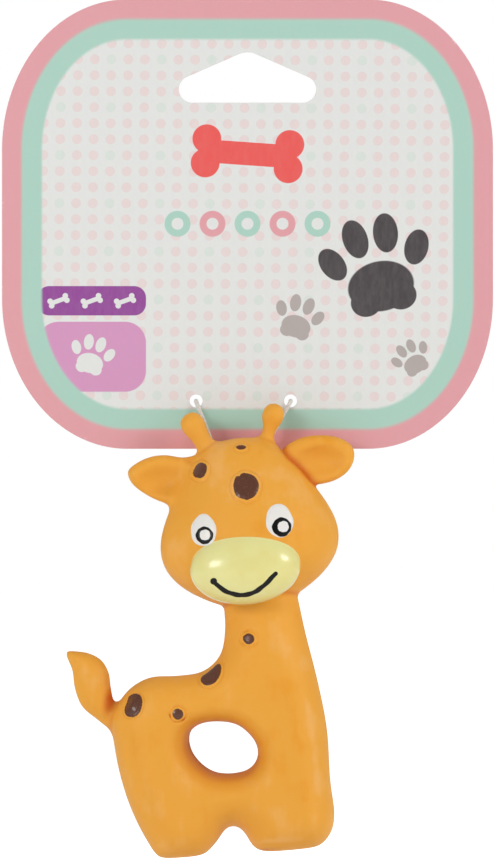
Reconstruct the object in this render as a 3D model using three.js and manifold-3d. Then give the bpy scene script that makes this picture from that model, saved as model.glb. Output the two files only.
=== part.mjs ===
// A hollow latex dog toy, a young giraffe with its face turned to the front, tied to its hang card.
// Millimetres, +Z up, the front faces -Y. The origin is the apex of the card's hang slot, in the card's
// middle plane, and the toy hangs below it.
import * as THREE from "three";
import { mergeVertices } from "three/addons/utils/BufferGeometryUtils.js";
import Module from "manifold-3d";

const wasm = await Module();
wasm.setup();

// Hang card
const cardWidth = 140.3;
const cardHeight = 128.4;
const cardThickness = 0.8;
const cardCornerWidth = 35.7;
const cardCornerHeight = 42.9;
const slotApexDrop = 14.6;
const slotWidth = 39.2;
const slotHeight = 14.9;
const slotShoulderDrop = 8.6;
const slotCornerRadius = 3.1;
const slotApexRadius = 1.2;
const cordHoleDiameter = 3.7;
const cordHoleDrop = 100.1;
const leftCordHoleX = -14.7;
const rightCordHoleX = 12.3;

// Elastic tie and the tunnel that it takes through the crown
const cordDiameter = 1.1;
const cordRunClearance = 0.35;
const knotDiameter = 3.4;
const tunnelLeftX = -9;
const tunnelRightX = 5.8;
const tunnelY = -5.6;
const tunnelZ = -114.2;
const tunnelMouthReach = 5;
const nodReach = THREE.MathUtils.degToRad(15);

// Toy as a whole: where the middle of the head hangs on the card, and how far the toy leans
const faceX = 0.1507;
const faceZ = -137.0173;
const toyTilt = THREE.MathUtils.degToRad(4);
const crownGap = 0.3;
const wall = 2.5;
const crownWall = 4.6;

// Body, legs and neck
const bodyLength = 61.4;
const bodyHeight = 79.6;
const bodyDepth = 28;
const neckDepth = 21;
const bodyEdgeRadius = 10.5;
const bellyHoleWidth = 19.6;
const bellyHoleHeight = 15.4;
const bellyHoleX = 0.0277 * bodyLength;
const bellyHoleZ = 0.387 * bodyHeight;
const bellyHoleLean = THREE.MathUtils.degToRad(-9);
const tailDepth = 9;
const tailEdgeRadius = 4.6;

// Head
const headX = 0.2117 * bodyLength;
const headRise = 12.4;
const headZ = bodyHeight + headRise;
const headLean = THREE.MathUtils.degToRad(3.5);
const headWidth = 51;
const headHeight = 48.4;
const headDepth = 38.8;
const muzzleWidth = 31.4;
const muzzleHeight = 20.6;
const muzzleDepth = 15;
const muzzleX = -2.2;
const muzzleForward = 15.5;
const muzzleZ = -10.6;
const muzzleLean = THREE.MathUtils.degToRad(-3);

// Horns and ears
const hornBallRadius = 3.35;
const leftHornFoot = { x: -7.9, z: 23.5 };
const leftHornBall = { x: -11.7, z: 31.9 };
const rightHornFoot = { x: 7.9, z: 23.2 };
const rightHornBall = { x: 11.3, z: 31.4 };
const earLength = 20;
const earWidth = 14;
const earThickness = 5.2;
const earRootX = 13;
const earRootZ = 17;
const earDishLength = 13.4;
const earDishWidth = 8.2;
const earDishDepth = 2;
const earDishRadius = 3.4;

// Moulded pads under the painted eyes and spots
const padLift = 0.55;
const headSpot = { x: 1.1, z: 12.5, width: 8.4, height: 8.7 };
const browSpot = { x: -11.3, z: 18.9, width: 5.3, height: 5.7 };
const leftEye = { x: -12.5, z: 1.8, width: 7.4, height: 9.2 };
const rightEye = { x: 9.3, z: 1.3, width: 7.8, height: 9.6 };
const neckSpot = { x: 0.182 * bodyLength, z: 0.773 * bodyHeight, width: 4.5, height: 4.5 };
const napeSpot = { x: -0.007 * bodyLength, z: 0.643 * bodyHeight, width: 6.2, height: 6.2 };
const flankSpot = { x: -0.173 * bodyLength, z: 0.515 * bodyHeight, width: 4.6, height: 4.6 };

// Squeaker in the back of the chest
const squeakerX = 0.2541 * bodyLength;
const squeakerZ = 0.5854 * bodyHeight;
const squeakerSetBack = 2.2;
const seatClearance = 0.3;
const flangeDiameter = 17;
const flangeThickness = 1.2;
const cupDiameter = 13;
const cupBore = 10;
const cupLength = 8.2;
const cupFloor = 1;
const capDiameter = 10.6;
const capThickness = 1;
const capHoleDiameter = 1.2;
const capHoleRing = 6;
const capHoleCount = 6;
const airHoleDiameter = 3.2;
const seatBossDiameter = 20.6;
const seatBossDepth = 3.5;
const shoeWidth = 3.6;
const shoeHeight = 2.2;
const shoeLength = 5.2;
const shoeChannelWidth = 2.4;
const shoeChannelDepth = 1.3;
const shoeAirBore = 1.2;
const reedWidth = 1.8;
const reedLength = 4.6;
const reedThickness = 0.35;

// Fineness of the surfaces
const bodyCell = 3.9;
const cavityCell = 5;
const tailCell = 2.6;
const earCell = 2.1;
const mergeDistance = 0.0005;
const shortestEdge = 0.02;
const cutOverrun = 2;
const headFacets = { around: 30, rows: 15 };
const hollowFacets = { around: 20, rows: 10 };

// Side outline of body, neck and legs, from the rear of the rump and from the soles, as shares of
// bodyLength and bodyHeight, clockwise from the nape.
const bodyStartShare = 0.48;
const bodyOutlineShares = [
  [0.59, 1.0], [0.557, 0.894], [0.554, 0.811], [0.522, 0.716], [0.438, 0.663], [0.32, 0.653],
  [0.19, 0.654], [0.098, 0.622], [0.038, 0.573], [0.0, 0.517], [0.001, 0.431], [0.019, 0.315],
  [0.059, 0.19], [0.123, 0.071], [0.178, 0.006], [0.271, -0.006], [0.379, 0.006], [0.448, 0.052],
  [0.494, 0.096], [0.534, 0.103], [0.572, 0.083], [0.618, 0.02], [0.691, -0.006], [0.812, -0.006],
  [0.921, 0.01], [0.981, 0.058], [1.0, 0.118], [0.992, 0.241], [0.993, 0.428], [0.965, 0.602],
  [0.924, 0.777], [0.896, 0.922], [0.874, 0.995],
];
const tailOutlineShares = [
  [0.073, 0.499], [0.046, 0.565], [0.017, 0.577], [0.005, 0.625], [-0.001, 0.683], [-0.032, 0.731],
  [-0.094, 0.763], [-0.177, 0.777], [-0.188, 0.758], [-0.168, 0.699], [-0.162, 0.634],
  [-0.135, 0.568], [-0.066, 0.515], [-0.004, 0.471], [0.048, 0.428],
];
const neckRiseShares = { start: 0.6, end: 0.86 };

// Half profile of the head about its upright axis: out as a share of half the width, up as a share of
// the height.
const headProfileShares = [
  [0, -0.455], [0.235, -0.446], [0.412, -0.417], [0.588, -0.37], [0.745, -0.314], [0.875, -0.248],
  [0.965, -0.171], [1, -0.083], [0.984, 0], [0.929, 0.083], [0.847, 0.169], [0.753, 0.252],
  [0.651, 0.331], [0.557, 0.397], [0.478, 0.45], [0.369, 0.5], [0.196, 0.537], [0, 0.5475],
];

// Half profile of a horn: out as a share of the ball's radius, up as a share of foot to ball.
const hornProfileShares = [
  [0, -0.35], [1.45, -0.35], [1.2, -0.08], [0.95, 0.18], [0.8, 0.45], [0.84, 0.68], [1, 1],
  [0.9, 1.17], [0.6, 1.3], [0, 1.36],
];

// Outline of each ear from its root, outwards and up, as shares of earLength and earWidth.
const leftEarShares = [
  [-0.02, 0.37], [0.18, 0.44], [0.39, 0.524], [0.6, 0.524], [0.8, 0.437], [0.93, 0.316],
  [0.945, 0.22], [0.906, 0.046], [0.793, -0.14], [0.61, -0.34], [0.43, -0.455], [0.2, -0.44],
  [-0.05, -0.286], [-0.125, 0.03],
];
const rightEarShares = [
  [0, 0.33], [0.107, 0.434], [0.3, 0.52], [0.547, 0.516], [0.784, 0.43], [0.955, 0.254],
  [0.997, 0.08], [0.964, -0.118], [0.86, -0.304], [0.675, -0.434], [0.455, -0.475], [0.2, -0.457],
  [-0.05, -0.286], [-0.125, 0.03],
];
const earDishShares = [0.55, 0.04];

// Route of the elastic in front of the card, from the left cord hole through the crown to the right one.
const tieRoute = [
  [-14.7, -0.2, -100.1],
  [-14.68, -0.9, -100.3],
  [-14.3, -1.5, -101.4],
  [-12.7, -2.6, -105],
  [-10.85, -4.1, -109.6],
  [-9.5, -5.2, -112.9],
  [-8.95, -5.57, -114],
  [-8.2, -5.6, -114.2],
  [-4, -5.6, -114.2],
  [1, -5.6, -114.2],
  [5, -5.6, -114.2],
  [5.75, -5.57, -114],
  [6.35, -5.2, -112.9],
  [8, -4.1, -109.6],
  [10.1, -2.6, -105],
  [11.8, -1.5, -101.4],
  [12.28, -0.9, -100.3],
  [12.3, -0.2, -100.1],
];

// Route of the elastic behind the card, between the same holes, with the knot near its middle.
const backRoute = [
  [-14.7, 0.3, -100.1],
  [-14.65, 0.9, -100.15],
  [-14, 1.3, -100.3],
  [-8, 1.35, -100.6],
  [-1.2, 1.5, -100.8],
  [6, 1.35, -100.6],
  [11.6, 1.3, -100.3],
  [12.25, 0.9, -100.15],
  [12.3, 0.3, -100.1],
];
const knotPlace = [-1.2, 2.45, -100.8];
const knotTails = [
  [[-1.2, 2.4, -101], [-2.6, 2.5, -103.4], [-3, 2.2, -106]],
  [[-1.2, 2.4, -101], [0.4, 2.6, -103.2], [1.4, 2.3, -105.2]],
];

/** A closed geometry as a solid that can be joined and cut. */
function toSolid(geometry, matrix = new THREE.Matrix4()) {
  const bare = new THREE.BufferGeometry();
  bare.setAttribute("position", geometry.attributes.position.clone());
  if (geometry.index) bare.setIndex(geometry.index.clone());
  bare.applyMatrix4(matrix);
  const merged = mergeVertices(bare, mergeDistance);
  const corners = merged.index.array;
  const kept = [];
  for (let i = 0; i < corners.length; i += 3) {
    const [a, b, c] = corners.slice(i, i + 3);
    if (a !== b && b !== c && c !== a) kept.push(a, b, c);
  }
  const vertProperties = new Float32Array(merged.attributes.position.array);
  return new wasm.Manifold(new wasm.Mesh({ numProp: 3, vertProperties, triVerts: new Uint32Array(kept) }));
}

/** Draws the ends of each very short edge together, so that cuts leave no slivers behind. */
function withoutShortEdges(positions, corners) {
  const leaders = Array.from({ length: positions.length / 3 }, (_, index) => index);
  const leaderOf = (index) => {
    let found = index;
    while (leaders[found] !== found) found = leaders[found];
    return found;
  };
  const pointAt = (index) => new THREE.Vector3().fromArray(positions, 3 * index);
  for (let i = 0; i < corners.length; i += 1) {
    const next = i % 3 === 2 ? i - 2 : i + 1;
    if (pointAt(corners[i]).distanceTo(pointAt(corners[next])) > shortestEdge) continue;
    const [first, second] = [leaderOf(corners[i]), leaderOf(corners[next])];
    leaders[Math.max(first, second)] = Math.min(first, second);
  }
  const kept = new Map();
  for (let i = 0; i < corners.length; i += 3) {
    const triangle = [0, 1, 2].map((step) => leaderOf(corners[i + step]));
    if (new Set(triangle).size < 3) continue;
    const name = [...triangle].sort((a, b) => a - b).join();
    if (kept.has(name)) kept.delete(name);
    else kept.set(name, triangle);
  }
  return [...kept.values()].flat();
}

/** A solid back as a geometry with merged vertices. */
function toGeometry(solid) {
  const mesh = solid.getMesh();
  const positions = new Float32Array(mesh.vertProperties);
  const geometry = new THREE.BufferGeometry();
  geometry.setAttribute("position", new THREE.BufferAttribute(positions, 3));
  geometry.setIndex(withoutShortEdges(positions, mesh.triVerts));
  geometry.computeVertexNormals();
  return geometry;
}

/** The joined solids of a list. */
function joined(solids) {
  return solids.reduce((whole, solid) => whole.add(solid));
}

/** A placement: a move after a turn about Y, counted as the tilt seen from the front. */
function placement(x, y, z, tilt = 0) {
  const turn = new THREE.Matrix4().makeRotationY(-tilt);
  return turn.setPosition(x, y, z);
}

/** An ellipsoid as a solid, from its three full sizes. */
function ellipsoid(width, depth, height, matrix, around = 24, rings = 12) {
  const shape = new THREE.SphereGeometry(1, around, rings).rotateX(Math.PI / 2);
  return toSolid(shape.scale(width / 2, depth / 2, height / 2), matrix);
}

/** A closed smooth loop in the X-Z plane through points given as shares of a width and a height. */
function smoothLoop(shares, width, height, startShare, samples) {
  const knots = shares.map(([across, up]) => {
    return new THREE.Vector3((across - startShare) * width, up * height, 0);
  });
  return new THREE.CatmullRomCurve3(knots, true, "centripetal").getPoints(samples).slice(0, -1);
}

/** The distance from (x, z) to the nearest loop, positive inside the outer loop and outside its holes. */
function insideDistance(loops, x, z) {
  let nearest = Infinity;
  let inside = false;
  for (const loop of loops) {
    for (let i = 0; i < loop.length; i += 1) {
      const start = loop[i];
      const end = loop[(i + 1) % loop.length];
      const alongX = end.x - start.x;
      const alongZ = end.y - start.y;
      const reach = ((x - start.x) * alongX + (z - start.y) * alongZ) / (alongX ** 2 + alongZ ** 2);
      const share = Math.min(1, Math.max(0, reach));
      nearest = Math.min(nearest, Math.hypot(x - start.x - share * alongX, z - start.y - share * alongZ));
      if (start.y > z !== end.y > z && x < start.x + ((z - start.y) / alongZ) * alongX) inside = !inside;
    }
  }
  return inside ? nearest : -nearest;
}

/** Positive inside a flat outline that is blown up like a pillow, with elliptical edges. */
function pillowField(loops, halfDepthAt, edgeRadius, inset = 0) {
  return (x, y, z) => {
    const radius = edgeRadius - inset;
    const edge = Math.max(0, 1 - (insideDistance(loops, x, z) - inset) / radius);
    return (1 - Math.hypot(edge, y / (halfDepthAt(z) - inset))) * radius;
  };
}

/** Moves a point along the field's slope onto its zero surface. */
function settle(field, point, step) {
  for (let pass = 0; pass < 4; pass += 1) {
    const { x, y, z } = point;
    const value = field(x, y, z);
    const slope = new THREE.Vector3(
      field(x + step, y, z) - field(x - step, y, z),
      field(x, y + step, z) - field(x, y - step, z),
      field(x, y, z + step) - field(x, y, z - step),
    ).divideScalar(2 * step);
    const steepness = Math.max(slope.lengthSq(), 0.05);
    const move = slope.multiplyScalar(-value / steepness);
    point.add(move.clampLength(0, 10 * step));
  }
  return point;
}

/** The zero surface of a field between two corners as a closed geometry, one vertex to a crossed cell. */
function surfaceOf(field, low, high, cell) {
  const counts = high.clone().sub(low).divideScalar(cell).ceil().addScalar(1).toArray();
  const strides = [1, counts[0], counts[0] * counts[1]];
  const values = new Float32Array(counts[0] * counts[1] * counts[2]);
  const nodes = [];
  for (let k = 0; k < counts[2]; k += 1) {
    for (let j = 0; j < counts[1]; j += 1) {
      for (let i = 0; i < counts[0]; i += 1) {
        nodes.push([i, j, k]);
        values[nodes.length - 1] = field(low.x + i * cell, low.y + j * cell, low.z + k * cell);
      }
    }
  }
  const corners = [0, 1, 2, 3, 4, 5, 6, 7].map((bits) => [bits & 1, (bits >> 1) & 1, bits >> 2]);
  const vertexOf = new Int32Array(values.length).fill(-1);
  const positions = [];
  nodes.forEach((node, at) => {
    if (node.some((index, axis) => index === counts[axis] - 1)) return;
    const crossings = [];
    for (const corner of corners) {
      const from = at + corner.reduce((sum, bit, axis) => sum + bit * strides[axis], 0);
      for (let axis = 0; axis < 3; axis += 1) {
        const to = from + strides[axis];
        if (corner[axis] === 1 || values[from] > 0 === values[to] > 0) continue;
        const crossing = new THREE.Vector3(...corner);
        const share = values[from] / (values[from] - values[to]);
        crossings.push(crossing.setComponent(axis, share));
      }
    }
    if (crossings.length === 0) return;
    const middle = crossings.reduce((sum, crossing) => sum.add(crossing), new THREE.Vector3());
    middle.divideScalar(crossings.length).add(new THREE.Vector3(...node)).multiplyScalar(cell).add(low);
    vertexOf[at] = positions.length / 3;
    positions.push(...settle(field, middle, cell / 40).toArray());
  });
  const indices = [];
  nodes.forEach((node, at) => {
    for (let axis = 0; axis < 3; axis += 1) {
      const [second, third] = [(axis + 1) % 3, (axis + 2) % 3];
      if (node[axis] === counts[axis] - 1 || node[second] === 0 || node[third] === 0) continue;
      const next = at + strides[axis];
      if (values[at] > 0 === values[next] > 0) continue;
      const around = [0, strides[second], strides[second] + strides[third], strides[third]];
      const quad = around.map((back) => vertexOf[at - back]);
      if (values[at] <= 0) quad.reverse();
      indices.push(quad[0], quad[1], quad[2], quad[0], quad[2], quad[3]);
    }
  });
  const geometry = new THREE.BufferGeometry();
  geometry.setAttribute("position", new THREE.Float32BufferAttribute(positions, 3));
  geometry.setIndex(indices);
  return geometry;
}

/** A pillow-shaped solid over the loops, in the X-Z plane. */
function pillow(loops, depth, halfDepthAt, edgeRadius, cell, inset = 0) {
  const box = new THREE.Box2().setFromPoints(loops[0]).expandByScalar(1.5 * cell);
  const reachY = (Math.ceil(depth / 2 / cell) + 1.5) * cell;
  const low = new THREE.Vector3(box.min.x, -reachY, box.min.y);
  const high = new THREE.Vector3(box.max.x, reachY, box.max.y);
  return toSolid(surfaceOf(pillowField(loops, halfDepthAt, edgeRadius, inset), low, high, cell));
}

/** Half of the body's depth at a height: full in the body, drawn in at the neck. */
function bodyHalfDepthAt(z) {
  const share = THREE.MathUtils.smoothstep(z / bodyHeight, neckRiseShares.start, neckRiseShares.end);
  return THREE.MathUtils.lerp(bodyDepth, neckDepth, share) / 2;
}

/** The body's outer loop and the hole through the belly. */
function bodyLoops() {
  const outer = smoothLoop(bodyOutlineShares, bodyLength, bodyHeight, bodyStartShare, 120);
  const hole = new THREE.EllipseCurve(
    bellyHoleX, bellyHoleZ, bellyHoleWidth / 2, bellyHoleHeight / 2, 0, 2 * Math.PI, true, bellyHoleLean,
  );
  return [outer, hole.getPoints(40).slice(0, -1)];
}

/** Body, legs and neck, drawn in by an inset for the hollow inside. */
function bodySolid(inset = 0) {
  const cell = inset > 0 ? cavityCell : bodyCell;
  return pillow(bodyLoops(), bodyDepth, bodyHalfDepthAt, bodyEdgeRadius, cell, inset);
}

/** The tail, a solid leaf that curves up from the rump. */
function tailSolid() {
  const loop = smoothLoop(tailOutlineShares, bodyLength, bodyHeight, bodyStartShare, 60);
  return pillow([loop], tailDepth, () => tailDepth / 2, tailEdgeRadius, tailCell);
}

/** The head's half profile, drawn in by walls for the hollow inside. */
function headProfile(inset = 0, crownInset = 0, facets = headFacets) {
  const knots = headProfileShares.map(([out, up]) => {
    const height = headHeight - 2 * (up < 0 ? inset : crownInset);
    return new THREE.Vector2(out * (headWidth / 2 - inset), up * height);
  });
  const points = new THREE.SplineCurve(knots).getPoints(facets.rows);
  return points.map((point) => new THREE.Vector2(Math.max(0, point.x), point.y));
}

/** The pear-shaped head, about its own centre. */
function headSolid(inset = 0, crownInset = 0, facets = headFacets) {
  const profile = headProfile(inset, crownInset, facets);
  const shape = new THREE.LatheGeometry(profile, facets.around).rotateX(Math.PI / 2);
  return toSolid(shape.scale(1, (headDepth / 2 - inset) / (headWidth / 2 - inset), 1));
}

/** Half of the head's depth at a place on its face, and zero beside the head. */
function headHalfDepthAt(x, z) {
  const profile = headProfile();
  const above = profile.findIndex((point) => point.y > z);
  if (above < 1) return 0;
  const [lower, upper] = [profile[above - 1], profile[above]];
  const radius = THREE.MathUtils.mapLinear(z, lower.y, upper.y, lower.x, upper.x);
  return (headDepth / headWidth) * Math.sqrt(Math.max(0, radius ** 2 - x ** 2));
}

/** Half of the body's depth at a place on its side, and zero beside the body. */
function bodySideDepthAt(x, z) {
  const edge = Math.max(0, 1 - insideDistance(bodyLoops(), x, z) / bodyEdgeRadius);
  return bodyHalfDepthAt(z) * Math.sqrt(Math.max(0, 1 - edge ** 2));
}

/** A low moulded pad on the front of a form whose half depth at (x, z) is known. */
function pad(spot, halfDepthAt) {
  const step = padLift;
  const slopeX = (halfDepthAt(spot.x + step, spot.z) - halfDepthAt(spot.x - step, spot.z)) / (2 * step);
  const slopeZ = (halfDepthAt(spot.x, spot.z + step) - halfDepthAt(spot.x, spot.z - step)) / (2 * step);
  const outward = new THREE.Vector3(-slopeX, -1, -slopeZ).normalize();
  const turn = new THREE.Quaternion().setFromUnitVectors(new THREE.Vector3(0, -1, 0), outward);
  const place = new THREE.Vector3(spot.x, -halfDepthAt(spot.x, spot.z), spot.z);
  const matrix = new THREE.Matrix4().compose(place, turn, new THREE.Vector3(1, 1, 1));
  return ellipsoid(spot.width, 2 * padLift, spot.height, matrix, 14, 6);
}

/** The muzzle, a puffed pad low on the face. */
function muzzleSolid(inset = 0, facets = headFacets) {
  const place = placement(muzzleX, -muzzleForward, muzzleZ, muzzleLean);
  const [width, depth, height] = [muzzleWidth, muzzleDepth, muzzleHeight].map((size) => size - 2 * inset);
  return ellipsoid(width, depth, height, place, facets.around, facets.rows);
}

/** One horn with its ball, from its foot in the crown to the ball's centre. */
function hornSolid(foot, ball) {
  const from = new THREE.Vector3(foot.x, 0, foot.z);
  const along = new THREE.Vector3(ball.x, 0, ball.z).sub(from);
  const knots = hornProfileShares.map(([out, up]) => {
    return new THREE.Vector2(out * hornBallRadius, up * along.length());
  });
  const profile = new THREE.SplineCurve(knots).getPoints(13);
  profile[0].x = 0;
  profile.at(-1).x = 0;
  const turn = new THREE.Quaternion().setFromUnitVectors(new THREE.Vector3(0, 1, 0), along.normalize());
  const matrix = new THREE.Matrix4().compose(from, turn, new THREE.Vector3(1, 1, 1));
  return toSolid(new THREE.LatheGeometry(profile, 14), matrix);
}

/** One ear, a pillow-edged leaf with a dish in its front; side is -1 on the left and 1 on the right. */
function earSolid(shares, side) {
  const leaf = smoothLoop(shares, earLength, earWidth, 0, 48);
  const loop = leaf.map((point) => {
    return new THREE.Vector3(side * (earRootX + point.x), earRootZ + point.y, 0);
  });
  const blade = pillow([loop], earThickness, () => earThickness / 2, earThickness / 2, earCell);
  const [outShare, upShare] = earDishShares;
  const dishX = side * (earRootX + outShare * earLength);
  const dishY = -(earThickness / 2 - earDishDepth + earDishRadius);
  const dishPlace = placement(dishX, dishY, earRootZ + upShare * earWidth);
  return blade.subtract(ellipsoid(earDishLength, 2 * earDishRadius, earDishWidth, dishPlace, 18, 10));
}

/** Where the toy stands in the row: the head keeps its place on the card, and the body hangs below. */
function toyPlacement(y = 0) {
  const headOnToy = new THREE.Vector3(headX, 0, headZ).applyMatrix4(placement(0, 0, 0, toyTilt));
  return placement(faceX - headOnToy.x, y, faceZ - headOnToy.z, toyTilt);
}

/** Where the head sits on the toy. */
function headPlacement() {
  return placement(headX, 0, headZ, headLean);
}

/** How far the head's back stands out behind its middle plane along the card's lower edge. */
function crownDepthOnCard() {
  const intoHead = toyPlacement().multiply(headPlacement()).invert();
  const cardBottom = slotApexDrop - cardHeight;
  let deepest = 0;
  for (let share = -0.4; share <= 0.4; share += 0.02) {
    const point = new THREE.Vector3(share * headWidth, 0, cardBottom).applyMatrix4(intoHead);
    deepest = Math.max(deepest, headHalfDepthAt(point.x, point.z));
  }
  return deepest;
}

const toyY = -(cardThickness / 2 + crownGap + crownDepthOnCard());
const seatY = bodyDepth / 2 - squeakerSetBack;

/** A cylinder between two points as a solid. */
function cylinderBetween(from, to, diameter, sides = 8) {
  const along = to.clone().sub(from);
  const shape = new THREE.CylinderGeometry(diameter / 2, diameter / 2, along.length(), sides);
  const turn = new THREE.Quaternion().setFromUnitVectors(new THREE.Vector3(0, 1, 0), along.normalize());
  const middle = from.clone().add(to).divideScalar(2);
  return toSolid(shape, new THREE.Matrix4().compose(middle, turn, new THREE.Vector3(1, 1, 1)));
}

/** The room that the elastic needs in the crown, in the row's frame, for every angle of nod. */
function tieTunnel() {
  const bore = cordDiameter + 2 * cordRunClearance;
  const left = new THREE.Vector3(tunnelLeftX, tunnelY, tunnelZ);
  const right = new THREE.Vector3(tunnelRightX, tunnelY, tunnelZ);
  const cuts = [cylinderBetween(left, right, bore)];
  for (const [end, holeX] of [[left, leftCordHoleX], [right, rightCordHoleX]]) {
    const strand = new THREE.Vector3(holeX, 0, -cordHoleDrop).sub(end).setLength(tunnelMouthReach);
    cuts.push(toSolid(new THREE.SphereGeometry(bore / 2, 8, 6), placement(end.x, end.y, end.z)));
    for (const share of [0, 0.5, 1]) {
      const swung = strand.clone().applyAxisAngle(new THREE.Vector3(1, 0, 0), share * nodReach);
      cuts.push(cylinderBetween(end, end.clone().add(swung), bore));
    }
  }
  return joined(cuts);
}

/** The stepped seat that holds the squeaker's flange and cup, open to the back. */
function squeakerSeat() {
  const floorY = seatY - flangeThickness - seatClearance;
  const outerY = bodyDepth / 2 + cutOverrun;
  const innerY = floorY - seatBossDepth - cutOverrun;
  const at = (y) => new THREE.Vector3(squeakerX, y, squeakerZ);
  const flangeRoom = cylinderBetween(at(floorY), at(outerY), flangeDiameter + 2 * seatClearance, 32);
  return flangeRoom.add(cylinderBetween(at(innerY), at(outerY), cupDiameter + 2 * seatClearance, 32));
}

/** The thick ring of latex round the squeaker, taken out of the hollow. */
function squeakerBoss() {
  const floorY = seatY - flangeThickness - seatClearance;
  const from = new THREE.Vector3(squeakerX, floorY - seatBossDepth, squeakerZ);
  const to = new THREE.Vector3(squeakerX, bodyDepth / 2, squeakerZ);
  return cylinderBetween(from, to, seatBossDiameter, 20);
}

/** The seamless latex skin of the toy, in the toy's own frame. */
function latexSkin() {
  const onHead = headPlacement();
  const headForms = [
    headSolid(),
    muzzleSolid(),
    hornSolid(leftHornFoot, leftHornBall),
    hornSolid(rightHornFoot, rightHornBall),
    earSolid(leftEarShares, -1),
    earSolid(rightEarShares, 1),
    ...[headSpot, browSpot, leftEye, rightEye].map((spot) => pad(spot, headHalfDepthAt)),
  ];
  const head = joined(headForms).transform(onHead.elements);
  const bodyPads = [neckSpot, napeSpot, flankSpot].map((spot) => pad(spot, bodySideDepthAt));
  const outer = joined([bodySolid(), tailSolid(), head, ...bodyPads]);
  const headHollow = headSolid(wall, crownWall, hollowFacets).add(muzzleSolid(wall, hollowFacets));
  const hollow = bodySolid(wall).add(headHollow.transform(onHead.elements)).subtract(squeakerBoss());
  const ground = new THREE.BoxGeometry(3 * bodyLength, 3 * bodyDepth, bodyHeight);
  const below = toSolid(ground, placement(0, 0, -bodyHeight / 2));
  const tunnel = tieTunnel().transform(toyPlacement(toyY).invert().elements);
  return outer.subtract(hollow).subtract(below).subtract(squeakerSeat()).subtract(tunnel);
}

/** A closed path with rounded corners, from corners given as x, z and radius. */
function roundedLoop(path, corners) {
  corners.forEach(([x, z, radius], index) => {
    const corner = new THREE.Vector2(x, z);
    const [beforeX, beforeZ] = corners.at(index - 1);
    const [afterX, afterZ] = corners[(index + 1) % corners.length];
    const before = new THREE.Vector2(beforeX, beforeZ).sub(corner).setLength(radius).add(corner);
    const after = new THREE.Vector2(afterX, afterZ).sub(corner).setLength(radius).add(corner);
    if (index === 0) path.moveTo(before.x, before.y);
    else path.lineTo(before.x, before.y);
    path.quadraticCurveTo(x, z, after.x, after.y);
  });
  path.closePath();
  return path;
}

/** The card's outline: straight sides with soft elliptical corners. */
function cardOutline() {
  const top = slotApexDrop;
  const bottom = slotApexDrop - cardHeight;
  const side = cardWidth / 2;
  const shape = new THREE.Shape();
  const corners = [
    [side - cardCornerWidth, top - cardCornerHeight, 0],
    [cardCornerWidth - side, top - cardCornerHeight, 0.5],
    [cardCornerWidth - side, bottom + cardCornerHeight, 1],
    [side - cardCornerWidth, bottom + cardCornerHeight, 1.5],
  ];
  for (const [x, z, halfTurns] of corners) {
    const from = halfTurns * Math.PI;
    shape.absellipse(x, z, cardCornerWidth, cardCornerHeight, from, from + Math.PI / 2, false);
  }
  shape.closePath();
  return shape;
}

/** The printed card with its hang slot and two cord holes. */
function hangCard() {
  const shape = cardOutline();
  const half = slotWidth / 2;
  shape.holes.push(roundedLoop(new THREE.Path(), [
    [0, 0, slotApexRadius],
    [half, -slotShoulderDrop, slotCornerRadius],
    [half, -slotHeight, slotCornerRadius],
    [-half, -slotHeight, slotCornerRadius],
    [-half, -slotShoulderDrop, slotCornerRadius],
  ]));
  for (const x of [leftCordHoleX, rightCordHoleX]) {
    shape.holes.push(new THREE.Path().absarc(x, -cordHoleDrop, cordHoleDiameter / 2, 0, 2 * Math.PI));
  }
  const sheet = new THREE.ExtrudeGeometry(shape, { depth: cardThickness, bevelEnabled: false, curveSegments: 9 });
  return sheet.rotateX(Math.PI / 2).translate(0, cardThickness / 2, 0);
}

/** A round cord along a list of points. */
function cordAlong(route, steps) {
  const path = new THREE.CatmullRomCurve3(route.map((point) => new THREE.Vector3(...point)), false, "centripetal");
  const section = new THREE.Shape().absarc(0, 0, cordDiameter / 2, 0, 2 * Math.PI);
  return new THREE.ExtrudeGeometry(section, { steps, curveSegments: 4, bevelEnabled: false, extrudePath: path });
}

/** The elastic behind the card with its knot and two cut ends. */
function tieKnot() {
  const knot = ellipsoid(1.2 * knotDiameter, knotDiameter, knotDiameter, placement(...knotPlace), 12, 8);
  const tails = knotTails.map((route) => toSolid(cordAlong(route, 8)));
  return toGeometry(joined([toSolid(cordAlong(backRoute, 40)), knot, ...tails]));
}

/** The squeaker's cup, open to the back, with its flange and its air hole. */
function squeakerCup() {
  const outer = cupDiameter / 2;
  const capSeat = capDiameter / 2 + seatClearance;
  const ledge = capThickness + seatClearance;
  const profile = [
    [capSeat, 0], [capSeat, -ledge], [cupBore / 2, -ledge], [cupBore / 2, cupFloor - cupLength],
    [airHoleDiameter / 2, cupFloor - cupLength], [airHoleDiameter / 2, -cupLength], [outer, -cupLength],
    [outer, -flangeThickness], [flangeDiameter / 2, -flangeThickness], [flangeDiameter / 2, 0], [capSeat, 0],
  ];
  return new THREE.LatheGeometry(profile.map(([r, y]) => new THREE.Vector2(r, y)), 32);
}

/** The perforated disc that closes the cup. */
function squeakerCap() {
  const disc = new THREE.Shape().absarc(0, 0, capDiameter / 2, 0, 2 * Math.PI);
  disc.holes.push(new THREE.Path().absarc(0, 0, capHoleDiameter / 2, 0, 2 * Math.PI));
  for (let index = 0; index < capHoleCount; index += 1) {
    const angle = (2 * Math.PI * index) / capHoleCount;
    const [x, y] = [Math.cos(angle), Math.sin(angle)].map((share) => (share * capHoleRing) / 2);
    disc.holes.push(new THREE.Path().absarc(x, y, capHoleDiameter / 2, 0, 2 * Math.PI));
  }
  const plate = new THREE.ExtrudeGeometry(disc, { depth: capThickness, bevelEnabled: false, curveSegments: 6 });
  return plate.rotateX(Math.PI / 2);
}

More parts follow.
